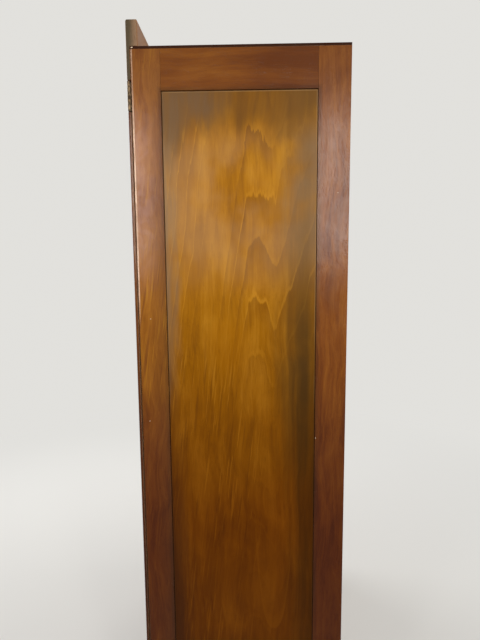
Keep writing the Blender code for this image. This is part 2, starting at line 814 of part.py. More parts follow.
def leaf(name, body, side, plate, tab_x, tab_y, knuckles, finish):
    """A hinge leaf: a bent plate with a tab to each of its knuckles, and the pin hole through them all."""
    z_low, z_high = knuckles[0]["all"]
    piece = outline(
        name,
        [plate],
        (0.0, 0.0, (z_low + z_high) / 2),
        (z_high - z_low) / 2 - LEAF_END_STEP,
        body,
        finish,
    )
    x_axis = side * HINGE_X
    for place, knuckle in enumerate(knuckles):
        z_knuckle = knuckle["z"]
        join(
            piece,
            box(f"{name}_tab_{place}", tab_x, tab_y, grown(z_knuckle, -LEAF_END_STEP), body),
            rod(
                f"{name}_knuckle_{place}",
                BARREL_RADIUS,
                (x_axis, HINGE_Y, z_knuckle[0]),
                (x_axis, HINGE_Y, z_knuckle[1]),
                body,
            ),
        )
    cut(
        piece,
        rod(
            f"{name}_bore",
            PIN_RADIUS + PIN_CLEARANCE,
            (x_axis, HINGE_Y, z_low - OVERCUT),
            (x_axis, HINGE_Y, z_high + OVERCUT),
            body,
        ),
    )
    return piece


def hinge(side, name, z_low, hinge_stile):
    """A cranked hinge: a flat leaf on the side stile, a bent leaf round the door's rebate, and their pin."""
    body = DOORS[side]
    z_high = z_low + HINGE_HEIGHT
    pitch = HINGE_HEIGHT / KNUCKLE_COUNT
    knuckles = [
        {
            "all": (z_low, z_high),
            "z": (z_low + pitch * i + KNUCKLE_GAP / 2, z_low + pitch * (i + 1) - KNUCKLE_GAP / 2),
        }
        for i in range(KNUCKLE_COUNT)
    ]
    x_plate_end = HINGE_X - BARREL_RADIUS - BARREL_CLEARANCE
    y_case = (-FIT - LEAF_THICKNESS, -FIT)
    y_door = (LIP_BACK - LEAF_THICKNESS, LIP_BACK)
    x_case = (HINGE_X - LEAF_WIDTH, x_plate_end)
    x_return = (CHEEK - LEAF_THICKNESS, CHEEK)
    case_plate = [
        (side * x_case[0], y_case[0]),
        (side * x_case[1], y_case[0]),
        (side * x_case[1], y_case[1]),
        (side * x_case[0], y_case[1]),
    ]
    door_plate = [
        (side * x_return[0], y_door[0]),
        (side * x_plate_end, y_door[0]),
        (side * x_plate_end, y_door[1]),
        (side * x_return[1], y_door[1]),
        (side * x_return[1], LIP_BACK + LEAF_RETURN),
        (side * x_return[0], LIP_BACK + LEAF_RETURN),
    ]
    tab_root = x_plate_end - BARREL_RADIUS / 2
    case_tab = mirrored(side, tab_root, HINGE_X)
    door_tab = mirrored(side, tab_root, HINGE_X - PIN_RADIUS)
    leaf(f"{name}_case_leaf", CASE, side, case_plate, case_tab, y_case, knuckles[0::2], BRASS)
    leaf(f"{name}_door_leaf", body, side, door_plate, door_tab, y_door, knuckles[1::2], BRASS)
    turned(
        f"{name}_pin",
        [
            (0.0, HINGE_HEIGHT + PIN_HEAD_HEIGHT),
            (PIN_HEAD_RADIUS, HINGE_HEIGHT + PIN_HEAD_HEIGHT * 0.6),
            (PIN_HEAD_RADIUS, HINGE_HEIGHT + FIT),
            (PIN_RADIUS, HINGE_HEIGHT + FIT),
            (PIN_RADIUS, 0.0),
            (0.0, 0.0),
        ],
        (side * HINGE_X, HINGE_Y, z_low),
        (0, 0, 1),
        CASE,
        BRASS,
        BARREL_STEPS,
    )
    z_gain = grown((z_low, z_high), BARREL_CLEARANCE + PIN_HEAD_HEIGHT)
    y_gain = (LIP_BACK - LEAF_THICKNESS - FIT, LIP_BACK + OVERCUT)
    cut(
        hinge_stile,
        box(
            f"{name}_barrel_notch",
            mirrored(side, x_plate_end - BARREL_CLEARANCE, LIP_EDGE + OVERCUT),
            (FRONT - OVERCUT, LIP_BACK + OVERCUT),
            z_gain,
            body,
        ),
        box(
            f"{name}_lip_gain",
            mirrored(side, CHEEK - LEAF_THICKNESS - FIT, LIP_EDGE),
            y_gain,
            grown((z_low, z_high), FIT),
            body,
        ),
        box(
            f"{name}_cheek_gain",
            mirrored(side, CHEEK - LEAF_THICKNESS - FIT, CHEEK + OVERCUT),
            (y_gain[0], LIP_BACK + LEAF_RETURN + FIT),
            grown((z_low, z_high), FIT),
            body,
        ),
    )


MEETING_STILES = {}
for hand, hand_name in ((+1, "right_door"), (-1, "left_door")):
    stile, MEETING_STILES[hand] = door(hand, hand_name)
    hinge(hand, f"{hand_name}_top_hinge", DOOR_HIGH - HINGE_SETBACK - HINGE_HEIGHT, stile)
    hinge(hand, f"{hand_name}_bottom_hinge", DOOR_LOW + HINGE_SETBACK, stile)
    turned(
        f"{hand_name}_knob",
        knob_profile(),
        (hand * KNOB_X, FRONT - FIT, KNOB_HEIGHT),
        (0, -1, 0),
        DOORS[hand],
        FRAME_WOOD,
    )


# Lock in the right-hand door


def oval(half_width, half_height, steps=ROUND_STEPS):
    turn = 2 * math.pi / steps
    return [(half_width * math.cos(i * turn), half_height * math.sin(i * turn)) for i in range(steps)]


def keyhole(radius, slot_half_width, reach, steps=12):
    """A round hole with a slot below it, as one loop that starts and ends at the slot."""
    start = math.asin(slot_half_width / radius) - math.pi / 2
    sweep = 2 * math.pi - 2 * math.asin(slot_half_width / radius)
    arc = [start + sweep * i / steps for i in range(steps + 1)]
    points = [(radius * math.cos(angle), radius * math.sin(angle)) for angle in arc]
    return points + [(-slot_half_width, -reach), (slot_half_width, -reach)]


def lock():
    body = DOORS[+1]
    stile = MEETING_STILES[+1]
    x_case = (MEET, MEET + LOCK_CASE_WIDTH)
    y_case = (DOOR_BACK - LOCK_CASE_DEPTH, DOOR_BACK)
    z_case = (KEY_HEIGHT - LOCK_CASE_BELOW_KEY, KEY_HEIGHT + LOCK_CASE_ABOVE_KEY)
    y_bolt_back = DOOR_BACK - LOCK_CASE_WALL - LOCK_BOLT_BACK_GAP
    y_bolt = (y_bolt_back - LOCK_BOLT_THICKNESS, y_bolt_back)
    z_bolt = (KEY_HEIGHT + LOCK_BOLT_ABOVE_KEY, KEY_HEIGHT + LOCK_BOLT_ABOVE_KEY + LOCK_BOLT_HEIGHT)
    x_bolt = (MEET + FIT, MEET + FIT + LOCK_BOLT_LENGTH)

    case = box("lock_case", x_case, y_case, z_case, body, BRASS)
    cut(
        case,
        box(
            "lock_case_hollow",
            grown(x_case, -LOCK_CASE_WALL),
            (y_case[0] - OVERCUT, y_case[1] - LOCK_CASE_WALL),
            grown(z_case, -LOCK_CASE_WALL),
            body,
        ),
        box(
            "lock_case_slot",
            (MEET - OVERCUT, MEET + LOCK_CASE_WALL + OVERCUT),
            grown(y_bolt, BOLT_CLEARANCE),
            grown(z_bolt, BOLT_CLEARANCE),
            body,
        ),
    )
    bolt = box("lock_bolt", x_bolt, y_bolt, z_bolt, body, BRASS)
    talon_middle = KEY_X + LOCK_BOLT_THROW / 2
    cut(
        bolt,
        box(
            "lock_bolt_talon",
            (talon_middle - TALON_WIDTH / 2, talon_middle + TALON_WIDTH / 2),
            grown(y_bolt, OVERCUT),
            (z_bolt[0] - OVERCUT, z_bolt[0] + TALON_HEIGHT),
            body,
        ),
    )

    hole_radius = KEY_SHANK_RADIUS + KEYHOLE_CLEARANCE
    hole_reach = KEY_BIT_REACH + KEYHOLE_CLEARANCE
    slot_half = KEY_BIT_THICKNESS / 2 + KEYHOLE_CLEARANCE
    hole = keyhole(hole_radius, slot_half, hole_reach)
    half_run = DOOR_THICKNESS / 2 + OVERCUT
    cut(
        stile,
        box(
            "lock_pocket",
            (MEET - OVERCUT, x_case[1] + FIT),
            (y_case[0] - FIT, DOOR_BACK + OVERCUT),
            grown(z_case, FIT),
            body,
        ),
        outline(
            "keyhole_cut",
            [hole],
            (KEY_X, (FRONT + DOOR_BACK) / 2, KEY_HEIGHT),
            half_run,
            body,
            None,
            direction=(0, -1, 0),
            top=(0, 0, 1),
        ),
    )
    outline(
        "escutcheon",
        [oval(ESCUTCHEON_HALF_WIDTH, ESCUTCHEON_HALF_HEIGHT), hole],
        (KEY_X, FRONT - FIT - ESCUTCHEON_THICKNESS / 2, KEY_HEIGHT),
        ESCUTCHEON_THICKNESS / 2,
        body,
        BRASS,
        direction=(0, -1, 0),
        top=(0, 0, 1),
    )

    bow_y = FRONT - KEY_BOW_CENTRE
    bit_back = y_bolt[1] - KEYHOLE_CLEARANCE
    key = rod(
        "key",
        KEY_SHANK_RADIUS,
        (KEY_X, bow_y + KEY_BOW_RADIUS - KEY_BOW_WIRE / 2, KEY_HEIGHT),
        (KEY_X, y_bolt[1], KEY_HEIGHT),
        KEY_BODY,
        STEEL,
    )
    bpy.ops.mesh.primitive_torus_add(
        major_radius=KEY_BOW_RADIUS,
        minor_radius=KEY_BOW_WIRE,
        major_segments=ROUND_STEPS,
        minor_segments=8,
    )
    ring = bpy.context.object
    bow = add_object("key_bow", ring.data, KEY_BODY, (KEY_X, bow_y, KEY_HEIGHT), None)
    bow.rotation_euler = (0.0, math.pi / 2, 0.0)
    bpy.data.objects.remove(ring, do_unlink=True)
    join(
        key,
        bow,
        box(
            "key_bit",
            (KEY_X - KEY_BIT_THICKNESS / 2, KEY_X + KEY_BIT_THICKNESS / 2),
            (bit_back - KEY_BIT_WIDTH, bit_back),
            (KEY_HEIGHT - KEY_BIT_REACH, KEY_HEIGHT),
            KEY_BODY,
        ),
    )

    mortise_depth = LOCK_BOLT_THROW + BOLT_CLEARANCE
    cut(
        MEETING_STILES[-1],
        box(
            "lock_bolt_mortise",
            (-MEET - mortise_depth, -MEET + OVERCUT),
            grown(y_bolt, BOLT_CLEARANCE),
            grown(z_bolt, BOLT_CLEARANCE),
            DOORS[-1],
        ),
    )


lock()


# Barrel bolts on the left-hand door


def barrel_bolt(name, end, inward, stop, keeper):
    """A sliding rod in two staples on the door's back. end is the door's edge and inward its way along Z."""
    body = DOORS[-1]
    x_middle = -ROD_X

    def along(first, second):
        return (end + inward * first, end + inward * second)

    y_plate = (DOOR_BACK + FIT, DOOR_BACK + FIT + BOLT_PLATE_THICKNESS)
    z_plate = along(BOLT_PLATE_FROM_END, BOLT_PLATE_FROM_END + BOLT_PLATE_LENGTH)
    x_plate = (x_middle - BOLT_PLATE_WIDTH / 2, x_middle + BOLT_PLATE_WIDTH / 2)
    x_staple = (x_middle - STAPLE_WIDTH / 2, x_middle + STAPLE_WIDTH / 2)
    y_staple = (sum(y_plate) / 2, ROD_Y + ROD_RADIUS + ROD_CLEARANCE + STAPLE_WALL)
    near = BOLT_PLATE_FROM_END + STAPLE_INSET
    far = BOLT_PLATE_FROM_END + BOLT_PLATE_LENGTH - STAPLE_INSET

    plate = box(f"{name}_plate", x_plate, y_plate, z_plate, body, STEEL)
    join(
        plate,
        box(f"{name}_near_staple", x_staple, y_staple, along(near, near + STAPLE_LENGTH), body),
        box(f"{name}_far_staple", x_staple, y_staple, along(far - STAPLE_LENGTH, far), body),
    )
    cut(
        plate,
        rod(
            f"{name}_staple_bore",
            ROD_RADIUS + ROD_CLEARANCE,
            (x_middle, ROD_Y, end),
            (x_middle, ROD_Y, end + inward * (far + OVERCUT)),
            body,
        ),
    )

    tip = stop + inward * ROD_TIP_GAP
    tail = end + inward * (far + ROD_TAIL)
    knob_z = end + inward * (far - STAPLE_LENGTH - ROD_KNOB_OFFSET)
    slider = rod(f"{name}_rod", ROD_RADIUS, (x_middle, ROD_Y, tip), (x_middle, ROD_Y, tail), body, STEEL)
    join(
        slider,
        rod(
            f"{name}_rod_knob",
            ROD_KNOB_RADIUS,
            (x_middle, ROD_Y, knob_z),
            (x_middle, ROD_Y + ROD_RADIUS + ROD_KNOB_LENGTH, knob_z),
            body,
        ),
    )
    cut(
        keeper,
        rod(
            f"{name}_keep",
            ROD_RADIUS + ROD_CLEARANCE,
            (x_middle, ROD_Y, stop + inward * OVERCUT),
            (x_middle, ROD_Y, stop - inward * (ROD_THROW + OVERCUT)),
            CASE,
        ),
    )


barrel_bolt("top_bolt", DOOR_HIGH, -1, STOP_RAIL_BOTTOM, TOP_FRONT_RAIL)
barrel_bolt("bottom_bolt", DOOR_LOW, +1, BOARD_TOP, BOTTOM_BOARD)
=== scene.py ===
"""Looks of the double door wardrobe.

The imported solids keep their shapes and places. This script softens their arrises, gives each its finish,
adds the screws, pins and filled nail holes, and sets up the floor, the light and the camera.
Metres, +Z up, doors at -Y.
"""

import json
import math

import bmesh
import bpy
from mathutils import Matrix, Quaternion, Vector

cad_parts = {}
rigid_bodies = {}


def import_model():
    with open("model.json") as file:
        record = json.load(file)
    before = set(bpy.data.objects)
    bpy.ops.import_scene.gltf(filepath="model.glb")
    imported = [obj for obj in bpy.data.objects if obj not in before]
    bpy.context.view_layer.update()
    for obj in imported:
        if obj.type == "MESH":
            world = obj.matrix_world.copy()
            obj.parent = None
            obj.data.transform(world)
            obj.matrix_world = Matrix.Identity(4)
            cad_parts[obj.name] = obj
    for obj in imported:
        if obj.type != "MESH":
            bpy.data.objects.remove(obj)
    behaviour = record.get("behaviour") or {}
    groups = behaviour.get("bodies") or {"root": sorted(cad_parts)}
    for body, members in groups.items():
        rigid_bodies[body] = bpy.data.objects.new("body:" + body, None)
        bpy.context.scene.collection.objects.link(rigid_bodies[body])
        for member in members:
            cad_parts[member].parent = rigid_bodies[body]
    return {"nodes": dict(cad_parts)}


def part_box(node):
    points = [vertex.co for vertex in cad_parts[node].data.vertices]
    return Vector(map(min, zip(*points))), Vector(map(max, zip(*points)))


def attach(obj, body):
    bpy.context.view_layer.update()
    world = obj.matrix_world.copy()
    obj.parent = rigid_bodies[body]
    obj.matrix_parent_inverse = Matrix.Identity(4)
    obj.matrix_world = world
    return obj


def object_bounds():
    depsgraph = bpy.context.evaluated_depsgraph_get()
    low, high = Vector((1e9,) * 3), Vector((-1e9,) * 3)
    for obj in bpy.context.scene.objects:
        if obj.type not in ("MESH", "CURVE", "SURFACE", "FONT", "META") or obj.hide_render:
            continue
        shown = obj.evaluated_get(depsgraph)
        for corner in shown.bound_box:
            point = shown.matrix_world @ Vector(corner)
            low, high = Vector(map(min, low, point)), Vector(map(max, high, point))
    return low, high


for leftover in list(bpy.data.objects):
    bpy.data.objects.remove(leftover, do_unlink=True)

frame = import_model()
cad_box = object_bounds()
cad_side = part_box("right_side_front_stile")[1].x
STILE_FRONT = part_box("right_side_front_stile")[0].y

# Camera, in the photograph's frame
FRAME_HEIGHT_PIXELS = 640
FOCAL_PIXELS = 478.0
SENSOR_MM = 36.0
CAMERA_PLACE = Vector((1.5848, 0.0398, 1.3664))
CAMERA_YAW = math.radians(-1.279)
CAMERA_PITCH = math.radians(7.005)
CAMERA_ROLL = math.radians(-0.473)
CAMERA_NEAR = 0.05

# Stage: the floor fades into the background between two distances, from a share at the first
FLOOR_RADIUS = 9.0
FLOOR_SIDES = 96
FLOOR_FADE = (0.6, 2.8)
FLOOR_LIFT = 0.35
FLOOR_DROP = 0.0005
FLOOR_COLOUR = (0.74, 0.73, 0.70)
BACKGROUND = (0.76, 0.75, 0.72)
SURROUND_LIGHT = 0.15
WHITE = (1.0, 1.0, 1.0)
WARM_WHITE = (1.0, 0.985, 0.96)

# Lamps beside the camera: name, place along Y, width, brightness
SIDE_KEYS = (
    ("side_key_front", -0.58, 0.24, 17.5),
    ("side_key_middle", -0.01, 0.56, 0.9),
    ("side_key_back", 0.43, 0.20, 20.5),
)
SIDE_KEY_OUT = 1.60
SIDE_KEY_AIM = 0.46
SIDE_KEY_RISE = 1.70
SIDE_KEY_TALL = 0.68

# Square lamps all round: name, place, aim, side, brightness
ROUND_LAMPS = (
    ("front_key", (-1.70, -2.20, 1.80), (0.0, -0.20, 1.00), 2.0, 5.0),
    ("left_fill", (-2.60, 0.60, 1.70), (-0.46, 0.0, 1.00), 1.6, 3.6),
    ("back_fill", (0.30, 2.70, 1.80), (0.0, 0.27, 1.00), 2.4, 1.8),
    ("top_light", (0.0, 0.0, 4.20), (0.0, 0.0, 1.9), 3.0, 0.7),
)

# Softened edges
BOARD_ARRIS = 0.0004
JOINT_ARRIS = 0.00015
METAL_ARRIS = 0.0002
WELD_DISTANCE = 0.00001
SMOOTH_LIMIT = math.radians(32)

# Screw heads: shape, and radius by place
SCREW_PROUD = 0.00012
SCREW_DEPTH = 0.0011
SCREW_TAPER = 0.75
SCREW_STEPS = 20
SCREW_TURN = 2.4
SLOT_SHARE = 0.17
SLOT_LIP = 0.00008
SLOT_DEPTH = 0.0005
LEVEL_FACE = 0.99
DOOR_LEAF_SCREW = 0.0027
CASE_LEAF_SCREW = 0.0030
KNOB_SCREW = 0.0036
LOCK_SCREW = 0.0024
BOLT_SCREW = 0.0021
SOCKET_SCREW = 0.0021
BEARER_SCREW = 0.0042

# Where the screws stand
LEAF_THICKNESS = 0.0012
LEAF_RETURN = 0.010
CASE_LEAF_REACH = 0.0155
HINGE_SCREW_INSET = 0.0105
LOCK_SCREW_INSET = 0.005
BOLT_PLATE_THICKNESS = 0.0015
BOLT_SCREW_SIDE = 0.0036
BOLT_SCREW_END = 0.008
SOCKET_FLANGE_THICKNESS = 0.003
SOCKET_SCREW_RADIUS = 0.0187
SOCKET_SCREW_DEGREES = (90, 210, 330)
BEARER_SCREWS_ALONG = (-0.16, -0.05, 0.18)

# Pins and nails: shape, radius by place, and where they stand
PIN_DOME = 0.45
ESCUTCHEON_PIN = 0.0012
ESCUTCHEON_PIN_RISE = 0.0175
BACK_PIN = 0.0015
PIN_INSET = 0.007
PIN_END_INSET = 0.02
BACK_PINS_UP = 13
BACK_PINS_ACROSS = 5
TOP_NAIL = 0.0017
TOP_NAIL_INSET = 0.011
TOP_NAIL_END_INSET = 0.05
TOP_NAIL_REACH = 0.33
TOP_NAILS = 4

# Filled nail holes on the right side: place along Y, height, width, length
FILLED_HOLES = (
    (-0.1985, 1.2314, 0.0022, 0.0030),
    (-0.2081, 0.9796, 0.0030, 0.0024),
    (0.1970, 0.9362, 0.0022, 0.0044),
    (0.2417, 1.5208, 0.0020, 0.0026),
    (-0.2222, 1.8422, 0.0056, 0.0030),
)
FLAKE_PROUD = 0.00010
FLAKE_RAGGED = 0.22
FLAKE_TURN = 2.7

# How strongly the polished wood mirrors, and the tint of that on the panels
FRAME_SPECULAR = 0.155
RAIL_SPECULAR = 0.10
PANEL_SPECULAR = 0.10
CREST_SPECULAR = 0.10
PANEL_TINT = (1.0, 0.84, 0.55)

# Roughness of the polish at its smoothest and roughest, and what fibres and bare wood add
FRAME_ROUGHNESS = (0.15, 0.24)
PANEL_ROUGHNESS = (0.34, 0.48)
FIBRE_ROUGHNESS = 0.08
BARE_ROUGHNESS = 0.2

# How far the inner faces are left bare
INNER_SIDES = 0.9
INNER_DOORS = 0.35

# How far the grain bends, how often to a metre, and its shift from board to board
BEND_SCALE = 6.0
FRAME_BEND = 0.045
RAIL_BEND = 0.025
PANEL_BEND = 0.03
BOARD_SHIFT = (7.1, 9.3, 5.7)

# Grain noises: repeats to a metre across and along the grain, octaves, roughness
RIBBON = (70, 2.6, 3, 0.6)
FIBRE = (420, 9, 4, 0.65)
PORE = (950, 34, 1)
PANEL_STREAK = (60, 3.0, 3, 0.6)

# Wood colours, linear
FRAME_DARK = (0.115, 0.026, 0.004)
FRAME_MID = (0.215, 0.062, 0.007)
FRAME_LIGHT = (0.320, 0.112, 0.014)
FRAME_PORE = (0.055, 0.014, 0.004)
FRAME_END = (0.130, 0.078, 0.040)
# Painted shade at the frames' tops; beside the front stile's panel partly soiling, partly painted shade
FRAME_SHADE_AND_DIRT = (0.085, 0.033, 0.011)
# Painted sheen on the front stile's polish
STILE_SHEEN = (0.700, 0.480, 0.450)
# Painted highlight on the front stile's arris
ARRIS_HIGHLIGHT = (0.850, 0.610, 0.450)
# Painted highlight on the faces in the gap beside the doors
GAP_HIGHLIGHT = (0.540, 0.345, 0.200)
# Soiling and painted shade at the edges of the panels' openings
GRIME_AND_SHADE = (0.035, 0.014, 0.005)
PANEL_BROWN = (0.215, 0.074, 0.002)
PANEL_AMBER = (0.350, 0.134, 0.002)
PANEL_PALE = (0.490, 0.212, 0.012)
PANEL_GOLD = (0.385, 0.142, 0.000)
PANEL_CROWN = (0.165, 0.054, 0.003)
PANEL_SHADE = (0.135, 0.055, 0.009)
PANEL_STAIN = (0.140, 0.080, 0.040)
# Bloomed polish and painted sheen on the panels' sides
PANEL_GREY_SHEEN = (0.235, 0.145, 0.078)
# Painted shade along the panels' high side
PANEL_OLIVE_SHADE = (0.095, 0.045, 0.009)
# Bloomed polish and painted sheen high on the panels, and painted sheen on the back stile
PANEL_HAZE_AND_SHEEN = (0.420, 0.250, 0.125)
# Wear and a painted highlight along the panels' rims
EDGE_WEAR_AND_HIGHLIGHT = (0.420, 0.250, 0.110)
BARE_PALE = (0.368, 0.166, 0.052)
BARE_DARK = (0.208, 0.078, 0.018)
SAWN_PALE = (0.230, 0.140, 0.080)
SAWN_DARK = (0.075, 0.055, 0.030)
INNER_DARK = (0.250, 0.130, 0.055)
INNER_PALE = (0.400, 0.235, 0.110)
INSIDE_PALE = (0.470, 0.300, 0.150)
INSIDE_LINE = (0.330, 0.185, 0.080)
BACK_PALE = (0.40, 0.245, 0.125)
BACK_LINE = (0.26, 0.150, 0.070)
PLY_EDGE = (0.022, 0.007, 0.003)
PLY_THICKNESS = 0.0020
DUST = (0.42, 0.39, 0.35)
FILLER_PALE = (0.70, 0.58, 0.42)
FILLER_LINE = (0.52, 0.38, 0.24)

# Metal colours, linear
BRASS_BRIGHT = (0.20, 0.135, 0.075)
BRASS_DARK = (0.018, 0.012, 0.008)
STEEL_BRIGHT = (0.33, 0.32, 0.305)
STEEL_DARK = (0.10, 0.082, 0.068)

# Painted shade: how the wood darkens towards the floor, the heights between which it does, and the tint it
# ends in
FRAME_FLOOR_SHADE = ((1.44, 0.76), (0.50, 0.33, 0.15))
PANEL_FLOOR_SHADE = ((1.62, 0.80), (0.50, 0.33, 0.12))

# Growth rings on the panels, off the flame's line: flat on the crown, steep before it, dipping behind it
RING_SPACING = 0.137
CROWN_FRONT = -0.021
CROWN_BACK = 0.016
CROWN_ROUNDING = 36.0
CROWN_DROP = 0.020
RING_FALL = 6.2
RING_DIP = 0.06
DIP_AT = 0.046
RING_RISE = 3.2

# Pale tongue low on the panels and the golden patch above it: places from the flame, heights and sizes
TONGUE_BEHIND = 0.043
TONGUE_LOW = 0.425
TONGUE_HALF = 0.043
TONGUE_RISE = 0.20
GLOW_BEFORE = 0.065
GLOW_HEIGHT = 1.167
GLOW_HALF = 0.058
GLOW_RISE = 0.070


def shaded(colour, share):
    """A colour at a share of its brightness."""
    return tuple(part * share for part in colour)


# Node graphs


class Graph:
    """A node tree that grows by one node a call. A call returns the new node's output socket."""

    def __init__(self, tree):
        self.tree = tree

    def feed(self, socket, value):
        if isinstance(value, bpy.types.NodeSocket):
            self.tree.links.new(value, socket)
        elif socket.type == "RGBA":
            socket.default_value = (*value[:3], 1.0)
        else:
            socket.default_value = value

    def node(self, kind, inputs=(), output=0, **settings):
        made = self.tree.nodes.new(kind)
        for key, value in settings.items():
            setattr(made, key, value)
        for key, value in dict(inputs).items():
            self.feed(made.inputs[key], value)
        return made.outputs[output]

    def math(self, operation, *values):
        return self.node("ShaderNodeMath", enumerate(values), operation=operation)


class Finish(Graph):
    """A material with its grain, and the places and facings that its nodes start from."""

    def __init__(self, name, grain="z", bend=0.0):
        self.material = bpy.data.materials.new(name)
        self.material.use_nodes = True
        super().__init__(self.material.node_tree)
        self.shader = self.tree.nodes["Principled BSDF"]
        self.grain = grain
        self.place = self.node("ShaderNodeTexCoord", output="Object")
        self.facing = self.node("ShaderNodeTexCoord", output="Normal")
        board = self.node("ShaderNodeObjectInfo", output="Random")
        self.own_place = self.moved(self.place, self.scaled(BOARD_SHIFT, board))
        self.straight_place = self.own_place
        if bend:
            self.own_place = self.bent(bend)

    def bent(self, reach):
        """The place with its grain bent from side to side, by up to about half of reach."""
        wander = {"Vector": self.own_place, "Scale": BEND_SCALE, "Detail": 1.0}
        push = self.node("ShaderNodeTexNoise", wander, output="Color")
        push = self.moved(push, (0.5, 0.5, 0.5), "SUBTRACT")
        return self.moved(self.own_place, self.scaled(push, reach))

    def moved(self, vector, by, operation="ADD"):
        return self.node("ShaderNodeVectorMath", {0: vector, 1: by}, operation=operation)

    def scaled(self, vector, share):
        return self.node("ShaderNodeVectorMath", {0: vector, "Scale": share}, operation="SCALE")

    def length(self, vector):
        return self.node("ShaderNodeVectorMath", {0: vector}, output="Value", operation="LENGTH")

    def add(self, first, second):
        return self.math("ADD", first, second)

    def less(self, first, second):
        return self.math("SUBTRACT", first, second)

    def times(self, product, *factors):
        for factor in factors:
            product = self.math("MULTIPLY", product, factor)
        return product

    def sway(self, noise, reach):
        """Noise that swings about 0, by up to about half of reach."""
        return self.times(self.less(noise, 0.5), reach)

    def axis(self, vector, name):
        return self.node("ShaderNodeSeparateXYZ", {0: vector}, output="xyz".index(name))

    def height(self):
        return self.axis(self.place, "z")

    def step(self, value, start, end, low=0.0, high=1.0):
        """Runs smoothly from low to high as the value goes from start to end."""
        ends = {"Value": value, "From Min": start, "From Max": end, "To Min": low, "To Max": high}
        return self.node("ShaderNodeMapRange", ends, interpolation_type="SMOOTHSTEP")

    def between(self, value, rise, fall):
        """The product of two steps: up along one and down along the other."""
        return self.times(self.step(value, *rise), self.step(value, *fall))

    def mix(self, factor, first, second, mode="MIX"):
        ends = {0: factor, 6: first, 7: second}
        return self.node("ShaderNodeMix", ends, output=2, data_type="RGBA", blend_type=mode)

    def tinged(self, colour, tint, *shares):
        """The colour with a tint over it, by the product of the shares."""
        return self.mix(self.times(*shares), colour, tint)

    def noise(self, vector, detail=2.0, roughness=0.5, scale=1.0, distortion=0.0):
        wanted = {"Vector": vector, "Scale": scale, "Detail": detail}
        wanted |= {"Roughness": roughness, "Distortion": distortion}
        return self.node("ShaderNodeTexNoise", wanted)

    def drawn(self, vector, across, along):
        """A place drawn out along the grain. across and along are the repeats to a metre."""
        scale = [along if axis == self.grain else across for axis in "xyz"]
        return self.node("ShaderNodeMapping", {"Vector": vector, "Scale": scale})

    def fibres(self, across, along, detail=2.0, roughness=0.5, distortion=0.0):
        """Noise drawn out along the bent grain."""
        place = self.drawn(self.own_place, across, along)
        return self.noise(place, detail, roughness, distortion=distortion)

    def flecks(self, lean, about, across, along, start=0.58, end=0.70):
        """Thin streaks that lean off the grain by an angle, turned about an axis."""
        turn = {"Vector": self.straight_place, "Angle": lean}
        turned = self.node("ShaderNodeVectorRotate", turn, rotation_type=about.upper() + "_AXIS")
        return self.step(self.noise(self.drawn(turned, across, along)), start, end)

    def ramp(self, value, *stops):
        made = self.tree.nodes.new("ShaderNodeValToRGB")
        points = made.color_ramp.elements
        while len(points) < len(stops):
            points.new(0.5)
        for point, (position, colour) in zip(points, stops):
            point.position = position
            point.color = (*colour, 1.0)
        self.feed(made.inputs[0], value)
        return made.outputs[0]

    def bump(self, height, distance, strength, onto=None):
        wanted = {"Height": height, "Distance": distance, "Strength": strength}
        if onto is not None:
            wanted["Normal"] = onto
        return self.node("ShaderNodeBump", wanted)

    def surface(self, colour, roughness, normal=None, specular=0.5, metallic=0.0, tint=WHITE):
        values = {"Base Color": colour, "Roughness": roughness, "Metallic": metallic}
        values |= {"Specular IOR Level": specular, "Specular Tint": tint}
        if normal is not None:
            values["Normal"] = normal
        for key, value in values.items():
            self.feed(self.shader.inputs[key], value)
        return self.material

    def across(self, area):
        """Place across a panel's opening, counted from the middle where it has a mirror image."""
        across = self.axis(self.place, area["axis"])
        return self.math("ABSOLUTE", across) if area["mirrored"] else across

    def border(self, area):
        """Distance from the edge of a panel's opening, below 0 inside it."""
        outside = []
        for value, side in ((self.across(area), "across"), (self.height(), "height")):
            low, high = area[side]
            from_middle = self.math("ABSOLUTE", self.less(value, (low + high) / 2))
            outside.append(self.less(from_middle, (high - low) / 2))
        return self.math("MAXIMUM", *outside)


# Openings that the panels fill


def opening(unit, first_stile, second_stile, axis, mirrored):
    """The space that a panel shows in, between the stiles and the rails of its unit."""
    first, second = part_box(f"{unit}_{first_stile}"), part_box(f"{unit}_{second_stile}")
    index = "xyz".index(axis)
    return {
        "axis": axis,
        "mirrored": mirrored,
        "across": (first[1][index], second[0][index]),
        "height": (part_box(f"{unit}_bottom_rail")[1].z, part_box(f"{unit}_top_rail")[0].z),
    }


def flame_line(area, share, shift, drop):
    """Where a panel's rings crown: at a share of its width and a shift, and so far below its top."""
    low, high = area["across"]
    return low * (1 - share) + high * share + shift, area["height"][1] - drop


SIDE_AREA = opening("right_side", "front_stile", "back_stile", "y", mirrored=False)
DOOR_AREA = opening("right_door", "meeting_stile", "hinge_stile", "x", mirrored=True)
SIDE_FLAME = flame_line(SIDE_AREA, 0.60, 0.0, 0.06)
DOOR_FLAME = flame_line(DOOR_AREA, 0.50, 0.02, 0.05)


# Wear, ageing, and painted light and shade


def shaded_towards_floor(wood, colour, heights, tint):
    """Darkens a colour towards the floor: painted shade, for light that falls off downwards."""
    wander = wood.times(wood.noise(wood.place, 2, 0.5, 3.0), 0.30)
    depth = wood.step(wood.add(wood.height(), wander), *heights)
    return wood.mix(depth, colour, wood.mix(1.0, colour, tint, "MULTIPLY"))


def inner_face(wood, area):
    """1 where a board faces the inside of the wardrobe."""
    if area["axis"] == "x":
        return wood.step(wood.axis(wood.facing, "y"), 0.5, 0.8)
    side = wood.math("SIGN", wood.axis(wood.place, "x"))
    return wood.step(wood.times(wood.axis(wood.facing, "x"), side), -0.5, -0.8)


